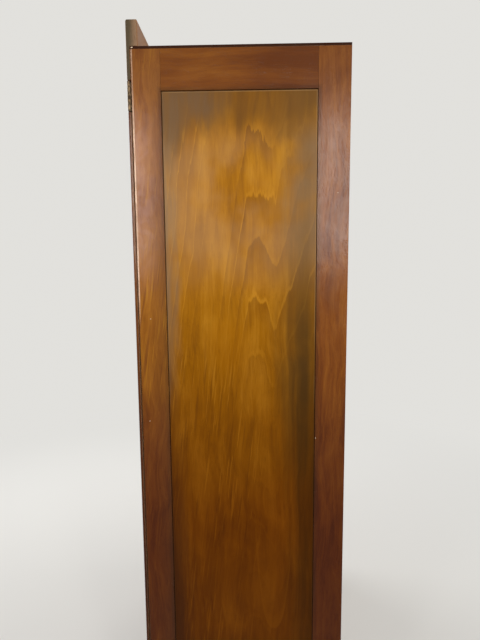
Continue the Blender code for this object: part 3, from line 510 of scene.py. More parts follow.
def left_bare(wood, area, tone, colour):
    """Leaves the inner faces unpolished: the sides bare, the doors thinly stained.
    Returns the colour and how bare it is."""
    share = INNER_DOORS if area["axis"] == "x" else INNER_SIDES
    bareness = wood.times(inner_face(wood, area), share)
    bare = wood.ramp(tone, (0.36, INNER_DARK), (0.62, INNER_PALE))
    return wood.mix(bareness, colour, bare), bareness


def painted_sheen(wood, rise, fall, thickest):
    """A thin mottled painted sheen on the polish, which comes in with height and goes out again."""
    mottle = wood.step(wood.fibres(34, 22, 2, 0.5, 0.8), 0.38, 0.62, 0.02, thickest)
    return wood.times(wood.between(wood.height(), rise, fall), mottle)


def front_stile_light_and_wear(wood, colour):
    """Ambers the front stile's polish at middle height, darkens it beside the panel, partly soiling and
    partly painted shade, paints a thin sheen on its polish towards the front, and paints a highlight on its
    arris."""
    outside = wood.less(1.0, inner_face(wood, SIDE_AREA))
    height = wood.height()
    amber = wood.times(wood.between(height, (0.94, 1.14), (1.48, 1.30)), outside)
    colour = wood.tinged(colour, PANEL_AMBER, amber, 0.30)
    colour = wood.tinged(colour, FRAME_DARK, wood.flecks(0.16, "x", 170, 7), amber, 0.45)
    colour = wood.tinged(colour, PANEL_PALE, wood.flecks(0.13, "x", 300, 9), amber, 0.50)
    # Darker towards the panel at middle height and above: partly soiling, partly painted shade
    inward = wood.step(wood.axis(wood.place, "y"), STILE_FRONT + 0.012, SIDE_AREA["across"][0])
    shade_and_dirt = wood.times(inward, wood.between(height, (1.05, 1.40, 0.30, 0.40), (1.84, 1.66, 0.3, 1.0)))
    colour = wood.tinged(colour, FRAME_SHADE_AND_DIRT, shade_and_dirt, outside)
    # Painted sheen, thin and mottled, towards the front of the stile
    cloud = painted_sheen(wood, (1.26, 1.45), (1.76, 1.58), 0.11)
    colour = wood.tinged(colour, STILE_SHEEN, cloud, wood.less(1.0, inward), outside)
    return arris_highlight(wood, colour)


def sheened_back_stile(wood, colour):
    """Paints a thin mottled sheen on the back stile's polish at its middle height."""
    cloud = painted_sheen(wood, (1.08, 1.38), (1.78, 1.60), 0.09)
    outside = wood.less(1.0, inner_face(wood, SIDE_AREA))
    # Painted sheen on the back stile
    return wood.tinged(colour, PANEL_HAZE_AND_SHEEN, cloud, outside)


def arris_highlight(wood, colour):
    """Paints a pale highlight on the front arris at hand height, and paints the stile's front face behind
    the doors partly pale, a painted highlight in the gap.
    """
    forward = wood.times(wood.axis(wood.facing, "y"), -1.0)
    height = wood.height()
    arris_break = wood.noise(wood.own_place, 4, 0.65, 30.0)
    behind = wood.add(wood.axis(wood.place, "y"), wood.sway(arris_break, 0.006))
    beside = wood.step(behind, STILE_FRONT + 0.0050, STILE_FRONT + 0.0015)
    turned = wood.math("MAXIMUM", wood.step(forward, 0.015, 0.06), beside)
    turned = wood.times(turned, wood.step(forward, 0.90, 0.70))
    # Painted highlight on the arris at hand height, broken up by noise
    reach = wood.between(height, (1.20, 1.34), (1.76, 1.60, 0.35, 1.0))
    colour = wood.tinged(colour, ARRIS_HIGHLIGHT, turned, reach, wood.step(arris_break, 0.34, 0.56, 0.50, 1.0))
    # Painted highlight: the stile's front face in the gap behind the doors is painted partly pale
    covered = wood.step(forward, 0.70, 0.95, 0.0, 0.6)
    return wood.tinged(colour, GAP_HIGHLIGHT, covered, wood.step(height, 0.14, 0.22))


def door_edge_shade(wood, colour):
    """Darkens the doors' outer edges as painted shade, and paints the rebate behind the lip pale, a painted
    highlight in the gap.
    """
    outward = wood.math("ABSOLUTE", wood.axis(wood.facing, "x"))
    # Painted shade on the doors' outer edges
    colour = wood.mix(wood.step(outward, 0.10, 0.35, 0.0, 0.55), colour, FRAME_PORE)
    # Painted highlight: the lip's back face in the gap is painted pale
    rebated = wood.step(wood.axis(wood.place, "y"), STILE_FRONT + 0.001, STILE_FRONT - 0.001)
    return wood.tinged(colour, GAP_HIGHLIGHT, rebated, wood.step(wood.axis(wood.facing, "y"), 0.5, 0.8))


# Finishes


def worn_polish(wood, fibre, scale, roughness):
    """Roughness of polish that is smudged in places and broken up by the fibres."""
    smudge = wood.noise(wood.own_place, 4, 0.6, scale)
    return wood.add(wood.step(smudge, 0.3, 0.75, *roughness), wood.times(fibre, FIBRE_ROUGHNESS))


def frame_wood(
    name, grain, area=None, shade=(0.0, 0.0), wear_and_light=None,
    specular=FRAME_SPECULAR, bend=FRAME_BEND, flecked=0.36,
):
    """Red-brown stained hardwood under rubbed satin polish, with end grain where a face cuts the fibres.
    shade darkens a board at its front and at its back, or lightens it where it is below 0."""
    wood = Finish(name, grain, bend)
    upright = grain == "z"
    about = "x" if area and area["axis"] == "y" else "y"
    depth = wood.step(wood.axis(wood.place, "y"), cad_box[0].y, cad_box[1].y, *shade)
    swirl = wood.fibres(15, 3.4, 3, 0.55, bend * 20)
    ribbon = wood.fibres(*RIBBON, bend * 12)
    fibre = wood.fibres(*FIBRE)
    pore = wood.step(wood.fibres(*PORE), 0.60, 0.70)
    ribbon_share, fibre_share = (0.40, 0.24) if upright else (0.24, 0.14)
    fine = wood.add(wood.sway(ribbon, ribbon_share), wood.sway(fibre, fibre_share))
    broad = wood.add(wood.times(swirl, 0.62), 0.19)
    tone = wood.less(wood.add(broad, fine), depth)
    colour = wood.ramp(tone, (0.34, FRAME_DARK), (0.50, FRAME_MID), (0.66, FRAME_LIGHT))
    colour = wood.tinged(colour, FRAME_PORE, pore, 0.25)
    blotch = wood.noise(wood.own_place, 3, 0.55, 5.0)
    colour = wood.mix(wood.step(blotch, 0.52, 0.75, 0.0, 0.30), colour, FRAME_DARK)
    fleck = wood.flecks(0.13 if upright else 0.02, about, 260, 9)
    bared = wood.step(blotch, 0.62, 0.40, 0.0, flecked if upright else 0.08)
    colour = wood.tinged(colour, PANEL_PALE, fleck, bared)
    # Painted shade: the frame darkens towards the floor
    colour = shaded_towards_floor(wood, colour, *FRAME_FLOOR_SHADE)
    # Painted shade: the frame darkens towards its top
    colour = wood.mix(wood.step(wood.height(), 1.60, 1.80, 0.0, 0.40), colour, FRAME_SHADE_AND_DIRT)
    bareness = 0.0
    if area:
        # Soiling and painted shade on the frame near the panel's opening
        grime_and_shade = wood.step(wood.border(area), 0.012, 0.0, 0.0, 0.5)
        colour = wood.tinged(colour, GRIME_AND_SHADE, grime_and_shade, wood.step(blotch, 0.25, 0.6, 0.5, 1.0))
        colour, bareness = left_bare(wood, area, tone, colour)
    # Further marks: wear, and painted light and shade
    if wear_and_light:
        colour = wear_and_light(wood, colour)
    cut = wood.step(wood.math("ABSOLUTE", wood.axis(wood.facing, grain)), 0.75, 0.95)
    speckle = wood.noise(wood.own_place, 4, 0.7, 260.0)
    colour = wood.mix(cut, colour, wood.ramp(speckle, (0.3, FRAME_PORE), (0.62, FRAME_END)))
    rough = worn_polish(wood, fibre, 11.0, FRAME_ROUGHNESS)
    coarse = wood.add(wood.times(cut, 0.3), wood.times(bareness, BARE_ROUGHNESS))
    grain_height = wood.less(wood.times(fibre, 0.7), wood.times(pore, 0.5))
    wave = wood.bump(wood.fibres(14, 1.2, 1), 0.0012, 0.5)
    relief = wood.bump(grain_height, 0.00022, 0.6, wave)
    return wood.surface(colour, wood.add(rough, coarse), relief, specular)


def crest_wood(name):
    """Polished in front, bare and dusty behind, with sawn ends that are darker towards the front."""
    wood = Finish(name, "x", RAIL_BEND)
    front, back = (corner.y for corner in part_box("crest_board"))
    swirl = wood.fibres(15, 2.4, 3, 0.55, 0.6)
    ribbon = wood.fibres(*RIBBON, 0.4)
    fibre = wood.fibres(*FIBRE)
    pore = wood.step(wood.fibres(*PORE), 0.60, 0.70)
    fine = wood.add(wood.times(ribbon, 0.32), wood.times(fibre, 0.20))
    tone = wood.add(wood.times(swirl, 0.48), fine)
    colour = wood.ramp(tone, (0.36, FRAME_DARK), (0.50, FRAME_MID), (0.66, FRAME_LIGHT))
    colour = wood.tinged(colour, FRAME_PORE, pore, 0.3)
    dust = wood.noise(wood.own_place, 5, 0.62, 14.0)
    dusty = wood.add(wood.times(tone, 0.6), wood.times(dust, 0.4))
    bare = wood.ramp(dusty, (0.38, BARE_DARK), (0.62, BARE_PALE))
    colour = wood.mix(wood.step(wood.axis(wood.facing, "y"), 0.35, 0.7), colour, bare)
    saw_place = wood.node("ShaderNodeMapping", {"Vector": wood.place, "Scale": (1, 420, 60)})
    saw = wood.noise(saw_place, 3, 0.6)
    along = wood.add(wood.axis(wood.place, "y"), wood.sway(saw, 0.016))
    sawn = wood.mix(wood.step(along, front + 0.006, back - 0.003), SAWN_DARK, SAWN_PALE)
    sawn = wood.mix(wood.step(saw, 0.55, 0.75, 0.0, 0.5), sawn, FRAME_PORE)
    cut = wood.step(wood.math("ABSOLUTE", wood.axis(wood.facing, "x")), 0.55, 0.9)
    colour = wood.mix(cut, colour, sawn)
    rough = wood.add(wood.step(dust, 0.3, 0.8, 0.34, 0.52), wood.times(cut, 0.2))
    relief = wood.bump(wood.add(fibre, saw), 0.00022, 0.5)
    return wood.surface(colour, rough, relief, CREST_SPECULAR)


def growth_rings(wood, across, height, flame):
    """How far each spot lies below the ring above it, from 0 at the ring to 1 at the next one down, with how
    near it is to a crown and how strong its ring is."""
    flame_at, flame_top = flame
    lean = wood.sway(wood.fibres(0.0, 1.4, 1), 0.04)
    off_flame = wood.add(wood.less(across, flame_at), lean)
    before = wood.math("MAXIMUM", wood.less(CROWN_FRONT, off_flame), 0.0)
    behind = wood.math("MAXIMUM", wood.less(off_flame, DIP_AT), 0.0)
    dip = wood.step(off_flame, CROWN_BACK, DIP_AT, 0.0, RING_DIP)
    fall = wood.add(wood.times(before, RING_FALL), dip)
    arch = wood.less(fall, wood.times(behind, RING_RISE))
    rounded = wood.times(off_flame, off_flame, CROWN_ROUNDING)
    arch = wood.add(arch, wood.math("MINIMUM", rounded, CROWN_DROP))
    drift = wood.sway(wood.fibres(12, 2.2, 2), 0.24)
    teeth = wood.sway(wood.fibres(85, 5, 3, 0.6), 0.09)
    teeth = wood.times(teeth, wood.step(height, flame_top - 0.24, flame_top - 0.14, 0.40, 1.0))
    drop = wood.less(wood.less(flame_top, height), arch)
    drop = wood.add(drop, wood.add(drift, teeth))
    crowned = wood.step(wood.math("ABSOLUTE", off_flame), 0.052, 0.026)
    crowned = wood.times(crowned, wood.step(height, flame_top - 0.42, flame_top - 0.12, 0.62, 1.0))
    count = wood.times(drop, 1 / RING_SPACING)
    ring = {"W": wood.math("FLOOR", count)}
    strength = wood.node("ShaderNodeTexWhiteNoise", ring, noise_dimensions="1D")
    return wood.math("FRACT", count), crowned, strength


def ringed(wood, across, flame, patch, colour):
    """Draws the growth rings: dark wood below each line, and a pale line just above the next."""
    height = wood.height()
    ring, crowned, strength = growth_rings(wood, across, height, flame)
    shown = wood.step(height, flame[1] - 0.66, flame[1] - 0.40, 0.20, 1.0)
    shown = wood.times(shown, wood.step(patch, 0.32, 0.58, 0.6, 1.0))
    under = wood.between(ring, (0.0, 0.02), (0.60, 0.02))
    flank = wood.step(strength, 0.1, 0.9, 0.08, 0.48)
    depth = wood.math("MAXIMUM", flank, wood.times(crowned, 0.80))
    colour = wood.tinged(colour, PANEL_CROWN, under, shown, depth)
    over = wood.between(ring, (0.88, 0.95), (1.0, 0.98))
    over = wood.times(over, wood.step(strength, 0.2, 0.8, 0.15, 0.85))
    return wood.tinged(colour, PANEL_PALE, over, shown)


def flecked_low(wood, about, across, flame, patch, colour):
    """Draws dim and bright leaning flecks on the panel below the rings."""
    flame_at, flame_top = flame
    leaning = wood.step(wood.height(), flame_top - 0.46, flame_top - 0.58)
    leaning = wood.times(leaning, wood.step(across, flame_at + 0.03, flame_at - 0.03, 0.15, 1.0))
    leaning = wood.times(leaning, wood.step(patch, 0.66, 0.46, 0.35, 1.0))
    dim = wood.flecks(0.10, about, 120, 6)
    colour = wood.tinged(colour, PANEL_CROWN, dim, leaning, 0.40)
    bright = wood.flecks(0.12, about, 240, 8, 0.60, 0.67)
    return wood.tinged(colour, PANEL_PALE, bright, leaning, 0.80)


def pale_tongue(wood, across, flame_at, colour):
    """A pale tongue of early wood low on the panel, round at its lower end, and a golden patch above it."""
    height = wood.height()
    off_middle = wood.math("ABSOLUTE", wood.less(across, flame_at + TONGUE_BEHIND))
    wander = wood.sway(wood.fibres(40, 4, 2), 0.03)
    rim = wood.times(wood.math("POWER", wood.times(off_middle, 1 / TONGUE_HALF), 3.0), TONGUE_RISE)
    inside = wood.add(wood.less(height, wood.add(rim, TONGUE_LOW)), wander)
    shown = wood.step(height, TONGUE_LOW + 0.32, TONGUE_LOW + 0.16)
    body = wood.between(inside, (-0.003, 0.003), (0.004, 0.05, 0.55, 0.18))
    colour = wood.tinged(colour, PANEL_PALE, body, shown)
    beside = wood.times(wood.less(across, flame_at - GLOW_BEFORE), 1 / GLOW_HALF)
    above = wood.times(wood.less(height, GLOW_HEIGHT), 1 / GLOW_RISE)
    from_glow = wood.length(wood.node("ShaderNodeCombineXYZ", {0: beside, 1: above}))
    ragged = wood.add(from_glow, wood.times(wander, 20.0))
    return wood.mix(wood.step(ragged, 1.25, 0.45, 0.0, 0.42), colour, PANEL_GOLD)


def hazed_and_shaded_top(wood, area, across, tone, patch, age_and_light, colour):
    """Hazes the panel's upper part, partly as bloomed polish and partly as painted sheen, and shades and
    stains it under the top rail.
    """
    height = wood.height()
    low = area["across"][0]
    top = area["height"][1]
    # Bloomed polish and painted sheen on the upper part
    haze_and_sheen = wood.between(height, (1.26, 1.42), (top - 0.05, top - 0.16))
    colour = wood.tinged(colour, PANEL_HAZE_AND_SHEEN, haze_and_sheen, wood.step(patch, 0.32, 0.64, 0.0, 0.34))
    dusk = wood.step(height, top - 0.28, top - 0.10, 0.0, 0.16 * age_and_light)
    colour = wood.mix(dusk, colour, PANEL_SHADE)
    ragged = wood.sway(wood.fibres(18, 8, 3, 0.55), 0.13)
    front_fall = wood.step(across, low + 0.06, low, 0.0, 0.05)
    ragged_height = wood.add(wood.add(height, ragged), front_fall)
    near_top = wood.step(ragged_height, top - 0.13, top - 0.03)
    streak = wood.fibres(*PANEL_STREAK)
    near_top = wood.times(near_top, wood.step(streak, 0.30, 0.62, age_and_light, 0.75 * age_and_light))
    colour = wood.mix(near_top, colour, PANEL_SHADE)
    stain_width = wood.add(across, wood.times(ragged, 0.6))
    stain = wood.times(near_top, wood.step(stain_width, low + 0.17, low + 0.10))
    return wood.tinged(colour, PANEL_STAIN, stain, wood.step(tone, 0.38, 0.60, 1.0, 0.5))


def sheen_and_shade_on_sides(wood, area, across, patch, age_and_light, colour):
    """Greys the panel's sides, partly as bloomed polish and partly as painted sheen, darkens its high side
    to olive and the whole panel towards the floor as painted shade, and darkens its front edge low down.
    """
    height = wood.height()
    low, high = area["across"]
    top = area["height"][1]
    ragged = wood.add(across, wood.sway(wood.fibres(*PANEL_STREAK), 0.07))
    # Bloomed polish and painted sheen along the sides
    at_low = wood.times(wood.step(ragged, low + 0.040, low - 0.004), wood.step(height, 0.88, 1.30))
    at_high = wood.times(wood.step(ragged, high - 0.095, high - 0.030), wood.step(height, 1.25, 1.50))
    bloom_and_sheen = wood.math("MAXIMUM", at_low, at_high)
    bloom_and_sheen = wood.times(bloom_and_sheen, wood.step(patch, 0.30, 0.58, 0.20 * age_and_light, 0.85 * age_and_light))
    under_top = wood.step(height, top - 0.05, top - 0.14, 0.1, 1.0)
    colour = wood.tinged(colour, PANEL_GREY_SHEEN, bloom_and_sheen, under_top)
    # Painted shade: the high side darkens to olive
    narrowed = wood.add(ragged, wood.step(height, 1.05, 0.72, 0.0, -0.040))
    olive = wood.step(narrowed, high - 0.125, high - 0.025)
    olive = wood.times(olive, wood.step(across, high - 0.022, high - 0.008, 1.0, 0.7))
    olive = wood.times(olive, wood.step(height, 1.50, 1.10, 0.38 * age_and_light, 0.4 + 0.6 * age_and_light))
    colour = wood.tinged(colour, PANEL_OLIVE_SHADE, olive, wood.step(patch, 0.2, 0.5, 0.75, 1.0))
    # Painted shade: the panel darkens towards the floor
    colour = shaded_towards_floor(wood, colour, *PANEL_FLOOR_SHADE)
    # Darker along the front edge low down
    low_front_dark = wood.step(ragged, low + 0.062, low + 0.004)
    return wood.tinged(colour, FRAME_PORE, low_front_dark, wood.step(height, 1.15, 0.55, 0.0, 0.80))


def rim_highlight_and_shade(wood, area, patch, colour):
    """Paints the panel pale along the edge of its opening, partly wear and partly a painted highlight, and
    dark in the corner itself, partly soiling and partly painted shade.
    """
    inside = wood.border(area)
    # Wear and a painted highlight along the rim
    wear_and_light = wood.times(wood.step(inside, -0.0040, -0.002), wood.step(patch, 0.3, 0.6, 0.05, 0.4))
    colour = wood.tinged(colour, EDGE_WEAR_AND_HIGHLIGHT, wear_and_light, wood.step(wood.height(), 0.90, 1.30, 0.1, 1.0))
    # Soiling and painted shade in the corner of the opening
    return wood.mix(wood.step(inside, -0.0018, -0.0004), colour, GRIME_AND_SHADE)


def panel_wood(name, area, flame, age_and_light):
    """Golden rotary-cut ply: amber clouds, ragged growth rings and leaning flecks, hazed, stained, and given
    painted sheen and painted shade by a strength which runs from 0 to 1."""
    wood = Finish(name, "z", PANEL_BEND)
    about = "x" if area["axis"] == "y" else "y"
    across = wood.across(area)
    cloud = wood.fibres(12, 6, 4, 0.55, 0.6)
    ribbon = wood.fibres(20, 1.3, 2, 0.5, 0.9)
    fibre = wood.fibres(150, 3.5, 4, 0.7)
    pore = wood.step(wood.fibres(850, 30, 1), 0.60, 0.72)
    patch = wood.noise(wood.own_place, 3, 0.55, 6.0)
    soft = wood.add(wood.times(cloud, 0.38), wood.times(ribbon, 0.34))
    tone = wood.add(soft, wood.times(fibre, 0.24))
    colour = wood.ramp(tone, (0.34, PANEL_BROWN), (0.48, PANEL_AMBER), (0.62, PANEL_PALE))
    colour = ringed(wood, across, flame, patch, colour)
    colour = flecked_low(wood, about, across, flame, patch, colour)
    colour = pale_tongue(wood, across, flame[0], colour)
    colour = wood.tinged(colour, FRAME_PORE, pore, 0.2)
    colour = hazed_and_shaded_top(wood, area, across, tone, patch, age_and_light, colour)
    colour = sheen_and_shade_on_sides(wood, area, across, patch, age_and_light, colour)
    colour = rim_highlight_and_shade(wood, area, patch, colour)
    colour, bareness = left_bare(wood, area, tone, colour)
    rough = worn_polish(wood, fibre, 9.0, PANEL_ROUGHNESS)
    rough = wood.add(rough, wood.times(bareness, BARE_ROUGHNESS))
    grain_height = wood.less(wood.times(fibre, 0.6), wood.times(pore, 0.5))
    wave = wood.bump(wood.fibres(9, 1.0, 1), 0.0016, 0.5)
    relief = wood.bump(grain_height, 0.00018, 0.5, wave)
    return wood.surface(colour, rough, relief, PANEL_SPECULAR, tint=PANEL_TINT)


def plain_wood(name, grain, pale, line, rings=13):
    """Bare wood for the inside and the back: soft growth lines, faint fibres, a little dust."""
    wood = Finish(name, grain)
    drift = wood.add(wood.fibres(6, 0.7, 2), wood.times(wood.fibres(60, 3.5, 3, 0.6), 0.035))
    part = wood.math("FRACT", wood.times(drift, rings))
    late = wood.times(wood.math("POWER", part, 2.5), wood.step(part, 1.0, 0.95))
    fibre = wood.fibres(380, 8, 3, 0.6)
    colour = wood.tinged(pale, line, late, 0.6)
    colour = wood.mix(wood.step(fibre, 0.45, 0.75, 0.0, 0.4), colour, line)
    dust = wood.noise(wood.own_place, 4, 0.6, 7.0)
    colour = wood.mix(wood.step(dust, 0.5, 0.8, 0.0, 0.3), colour, shaded(line, 0.6))
    rough = wood.step(dust, 0.3, 0.8, 0.5, 0.68)
    return wood.surface(colour, rough, wood.bump(fibre, 0.00025, 0.5), specular=0.3)


def top_ply(name):
    """Nearly black edge, with the plies just showing, and a dusty brown upper face."""
    wood = Finish(name, "x")
    plies = wood.math("FRACT", wood.times(wood.height(), 1 / PLY_THICKNESS))
    edge = wood.mix(wood.step(plies, 0.35, 0.65, 0.0, 0.6), PLY_EDGE, shaded(PLY_EDGE, 2.2))
    fibre = wood.fibres(260, 6, 4, 0.6)
    broad = wood.fibres(8, 0.9, 2)
    tone = wood.add(wood.times(broad, 0.6), wood.times(fibre, 0.4))
    face = wood.ramp(tone, (0.36, FRAME_DARK), (0.64, INSIDE_LINE))
    dust = wood.noise(wood.own_place, 5, 0.62, 5.0)
    face = wood.mix(wood.step(dust, 0.42, 0.75, 0.0, 0.4), face, DUST)
    upward = wood.step(wood.math("ABSOLUTE", wood.axis(wood.facing, "z")), 0.5, 0.8)
    colour = wood.mix(upward, edge, face)
    rough = wood.step(dust, 0.3, 0.8, 0.42, 0.7)
    return wood.surface(colour, rough, wood.bump(fibre, 0.0002, 0.4), specular=0.05)


def old_metal(name, bright, dark, tarnish, roughness):
    """Metal with tarnish in patches and fine rubbed scratches."""
    metal = Finish(name, "x")
    patch = metal.noise(metal.own_place, 5, 0.65, 90.0)
    scratch = metal.fibres(2400, 90, 2, 0.6)
    colour = metal.mix(metal.step(patch, 0.38, 0.68, 0.0, tarnish), bright, dark)
    colour = metal.mix(metal.step(scratch, 0.55, 0.8, 0.0, 0.25), colour, bright)
    rough = metal.add(metal.step(patch, 0.3, 0.7, *roughness), metal.times(scratch, FIBRE_ROUGHNESS))
    return metal.surface(colour, rough, metal.bump(scratch, 0.00004, 0.5), metallic=1.0)


FRONT_STILE = frame_wood("side_front_stile", "z", SIDE_AREA, (-0.08, -0.08), front_stile_light_and_wear)
BACK_STILE = frame_wood("side_back_stile", "z", SIDE_AREA, wear_and_light=sheened_back_stile, flecked=0.10)
# Painted shade: the side rail is lighter at its front and darker towards its back
SIDE_RAIL = frame_wood("side_rail", "y", SIDE_AREA, (-0.07, 0.18), specular=RAIL_SPECULAR, bend=RAIL_BEND)
DOOR_STILE = frame_wood("door_stile", "z", DOOR_AREA, wear_and_light=door_edge_shade)
DOOR_RAIL = frame_wood("door_rail", "x", DOOR_AREA)
FRONT_BOARD = frame_wood("front_board", "x")
CREST = crest_wood("crest_board")
KNOB_WOOD = frame_wood("knob_wood", "z")
# The last number scales the panels' stains, painted sheen and painted shade
SIDE_PANEL = panel_wood("side_panel", SIDE_AREA, SIDE_FLAME, age_and_light=1.0)
DOOR_PANEL = panel_wood("door_panel", DOOR_AREA, DOOR_FLAME, age_and_light=0.35)
INSIDE_X = plain_wood("inside_wood_x", "x", INSIDE_PALE, INSIDE_LINE)
INSIDE_Y = plain_wood("inside_wood_y", "y", INSIDE_PALE, INSIDE_LINE)
INSIDE_Z = plain_wood("inside_wood_z", "z", INSIDE_PALE, INSIDE_LINE)
BACK_PLY = plain_wood("back_ply", "z", BACK_PALE, BACK_LINE, rings=9)
TOP_PLY = top_ply("top_ply")
FILLER = plain_wood("filler", "z", FILLER_PALE, FILLER_LINE)
BRASS = old_metal("brass", BRASS_BRIGHT, BRASS_DARK, tarnish=0.95, roughness=(0.22, 0.44))
STEEL = old_metal("steel", STEEL_BRIGHT, STEEL_DARK, tarnish=0.80, roughness=(0.34, 0.56))

FINISHES = {
    FRONT_STILE: ("side_front_stile",),
    BACK_STILE: ("side_back_stile",),
    SIDE_RAIL: ("side_top_rail", "side_bottom_rail"),
    SIDE_PANEL: ("side_panel",),
    DOOR_STILE: ("door_hinge_stile", "door_meeting_stile"),
    DOOR_RAIL: ("door_top_rail", "door_bottom_rail"),
    DOOR_PANEL: ("door_panel",),
    KNOB_WOOD: ("door_knob",),
    CREST: ("crest_board",),
    FRONT_BOARD: ("plinth_board",),
    TOP_PLY: ("top_board",),
    INSIDE_X: ("top_front_rail", "top_back_rail", "bottom_back_rail", "bottom_board", "hat_shelf"),
    INSIDE_Y: ("floor_bearer", "shelf_bearer"),
    INSIDE_Z: ("back_muntin",),
    BACK_PLY: ("back_panel",),
    STEEL: ("key", "bolt_plate", "bolt_rod"),
}


def finish_of(node):
    """The finish that lists the ending of the node's name; what is left is brass."""
    for finish, endings in FINISHES.items():
        if f"_{node}".endswith(tuple(f"_{ending}" for ending in endings)):
            return finish
    return BRASS


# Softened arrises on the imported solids


def smoothing_group():
    """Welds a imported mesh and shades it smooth, with edges kept sharp where it turns past the limit."""
    group = bpy.data.node_groups.new("weld_and_smooth", "GeometryNodeTree")
    for way in ("INPUT", "OUTPUT"):
        group.interface.new_socket("Geometry", in_out=way, socket_type="NodeSocketGeometry")
    make = group.nodes.new
    start = make("NodeGroupInput")
    plain = make("GeometryNodeRemoveAttribute")
    plain.inputs["Name"].default_value = "custom_normal"
    weld = make("GeometryNodeMergeByDistance")
    weld.inputs["Distance"].default_value = WELD_DISTANCE
    faces = make("GeometryNodeSetShadeSmooth")
    faces.domain = "FACE"
    angle = make("GeometryNodeInputMeshEdgeAngle")
    gentle = make("FunctionNodeCompare")
    gentle.operation = "LESS_THAN"
    gentle.inputs["B"].default_value = SMOOTH_LIMIT
    edges = make("GeometryNodeSetShadeSmooth")
    edges.domain = "EDGE"
    end = make("NodeGroupOutput")
    link = group.links.new
    link(angle.outputs["Unsigned Angle"], gentle.inputs["A"])
    link(gentle.outputs[0], edges.inputs["Shade Smooth"])
    chain = (start, plain, weld, faces, edges, end)
    for earlier, later in zip(chain, chain[1:]):
        link(earlier.outputs[0], later.inputs[0])
    return group


SMOOTHING = smoothing_group()


def soften(piece, width):
    """Rounds the sharp edges of a piece by a small width."""
    smooth = piece.modifiers.new("weld_and_smooth", "NODES")
    smooth.node_group = SMOOTHING
    arris = piece.modifiers.new("arris", "BEVEL")
    arris.width = width
    arris.segments = 2
    arris.limit_method = "ANGLE"
    arris.angle_limit = SMOOTH_LIMIT
    arris.use_clamp_overlap = False
    flat = piece.modifiers.new("flat_faces", "WEIGHTED_NORMAL")
    flat.keep_sharp = True


ARRISES = {
    JOINT_ARRIS: (FRONT_STILE, BACK_STILE, SIDE_RAIL, DOOR_STILE, DOOR_RAIL),
    METAL_ARRIS: (BRASS, STEEL),
}
for node, solid in frame["nodes"].items():
    finish = finish_of(node)
    solid.data.materials.clear()
    solid.data.materials.append(finish)
    soften(solid, next((width for width, used in ARRISES.items() if finish in used), BOARD_ARRIS))


# Screws, pins and filled holes

SLOT_FINISHES = {"brass": BRASS, "steel": STEEL, "inner_wood": FILLER}


def head_face(shape, older, place, facing):
    """The new face that looks outward nearest the middle of a screw's head."""
    tops = [face for face in set(shape.faces) - older if face.normal.dot(facing) > LEVEL_FACE]
    return min(tops, key=lambda top: (top.calc_center_median() - place).length)


def add_screw(shape, place, facing, radius, turn):
    """A countersunk head with its slot, sunk until only a hair stands proud."""
    side = facing.orthogonal().normalized()
    side.rotate(Quaternion(facing, turn))
    frame_of_head = Matrix((side, facing.cross(side), facing)).transposed().to_4x4()
    middle = place + facing * (SCREW_PROUD - SCREW_DEPTH / 2)
    older = set(shape.faces)
    spot = Matrix.Translation(middle) @ frame_of_head
    bmesh.ops.create_cone(
        shape, cap_ends=True, segments=SCREW_STEPS, depth=SCREW_DEPTH, matrix=spot,
        radius1=radius * SCREW_TAPER, radius2=radius,
    )
    for sign in (-1, 1):
        face = head_face(shape, older, place, facing)
        bmesh.ops.bisect_plane(
            shape,
            geom=[face, *face.edges, *face.verts],
            plane_co=place + side * (sign * radius * SLOT_SHARE),
            plane_no=side,
        )
    slot = head_face(shape, older, place, facing)
    bmesh.ops.inset_individual(shape, faces=[slot], thickness=SLOT_LIP, depth=-SLOT_DEPTH)


def faced(place, facing):
    """A matrix that puts a shape at a place, with its Z along facing."""
    return Matrix.Translation(place) @ facing.to_track_quat("Z", "Y").to_matrix().to_4x4()


def add_pin(shape, place, facing, radius):
    """A low domed head, half sunk."""
    spot = faced(place, facing) @ Matrix.Diagonal((radius, radius, radius * PIN_DOME, 1.0))
    bmesh.ops.create_uvsphere(shape, u_segments=12, v_segments=8, radius=1.0, matrix=spot)


def add_flake(shape, place, facing, width, height):
    """A ragged flake of filler, a hair proud of the wood."""
    spot = faced(place, facing) @ Matrix.Diagonal((width / 2, height / 2, FLAKE_PROUD * 2, 1.0))
    flake = bmesh.ops.create_cone(
        shape, cap_ends=True, segments=9, radius1=1.0, radius2=0.7, depth=1.0, matrix=spot
    )
    for count, corner in enumerate(flake["verts"]):
        reach = 1.0 + FLAKE_RAGGED * math.sin(FLAKE_TURN * count)
        corner.co = place + (corner.co - place) * reach


def make_piece(name, body, slot, shape):
    mesh = bpy.data.meshes.new(name)
    shape.to_mesh(mesh)
    shape.free()
    mesh.materials.append(SLOT_FINISHES[slot])
    piece = bpy.data.objects.new(name, mesh)
    bpy.context.scene.collection.objects.link(piece)
    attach(piece, body)


def screws(name, body, slot, radius, spots):
    shape = bmesh.new()
    for count, (place, facing) in enumerate(spots):
        add_screw(shape, Vector(place), Vector(facing), radius, count * SCREW_TURN)
    make_piece(name, body, slot, shape)


def pins(name, body, slot, radius, spots):
    shape = bmesh.new()
    for place, facing in spots:
        add_pin(shape, Vector(place), Vector(facing), radius)
    make_piece(name, body, slot, shape)


def spread(start, end, count):
    return [start + (end - start) * step / (count - 1) for step in range(count)]


def hinge_spots(node, depth, face, facing):
    """Three screws up a hinge plate, on its face and at a depth behind the node's front."""
    low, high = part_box(node)
    rows = spread(low.z + HINGE_SCREW_INSET, high.z - HINGE_SCREW_INSET, 3)
    return [((face, low.y + depth, row), facing) for row in rows]


def corner_spots(low, high, face, side_inset, end_inset):
    """Four screws that face backwards at the corners of a plate."""
    return [
        ((across, face, height), (0, 1, 0))
        for across in (low.x + side_inset, high.x - side_inset)
        for height in (low.z + end_inset, high.z - end_inset)
    ]


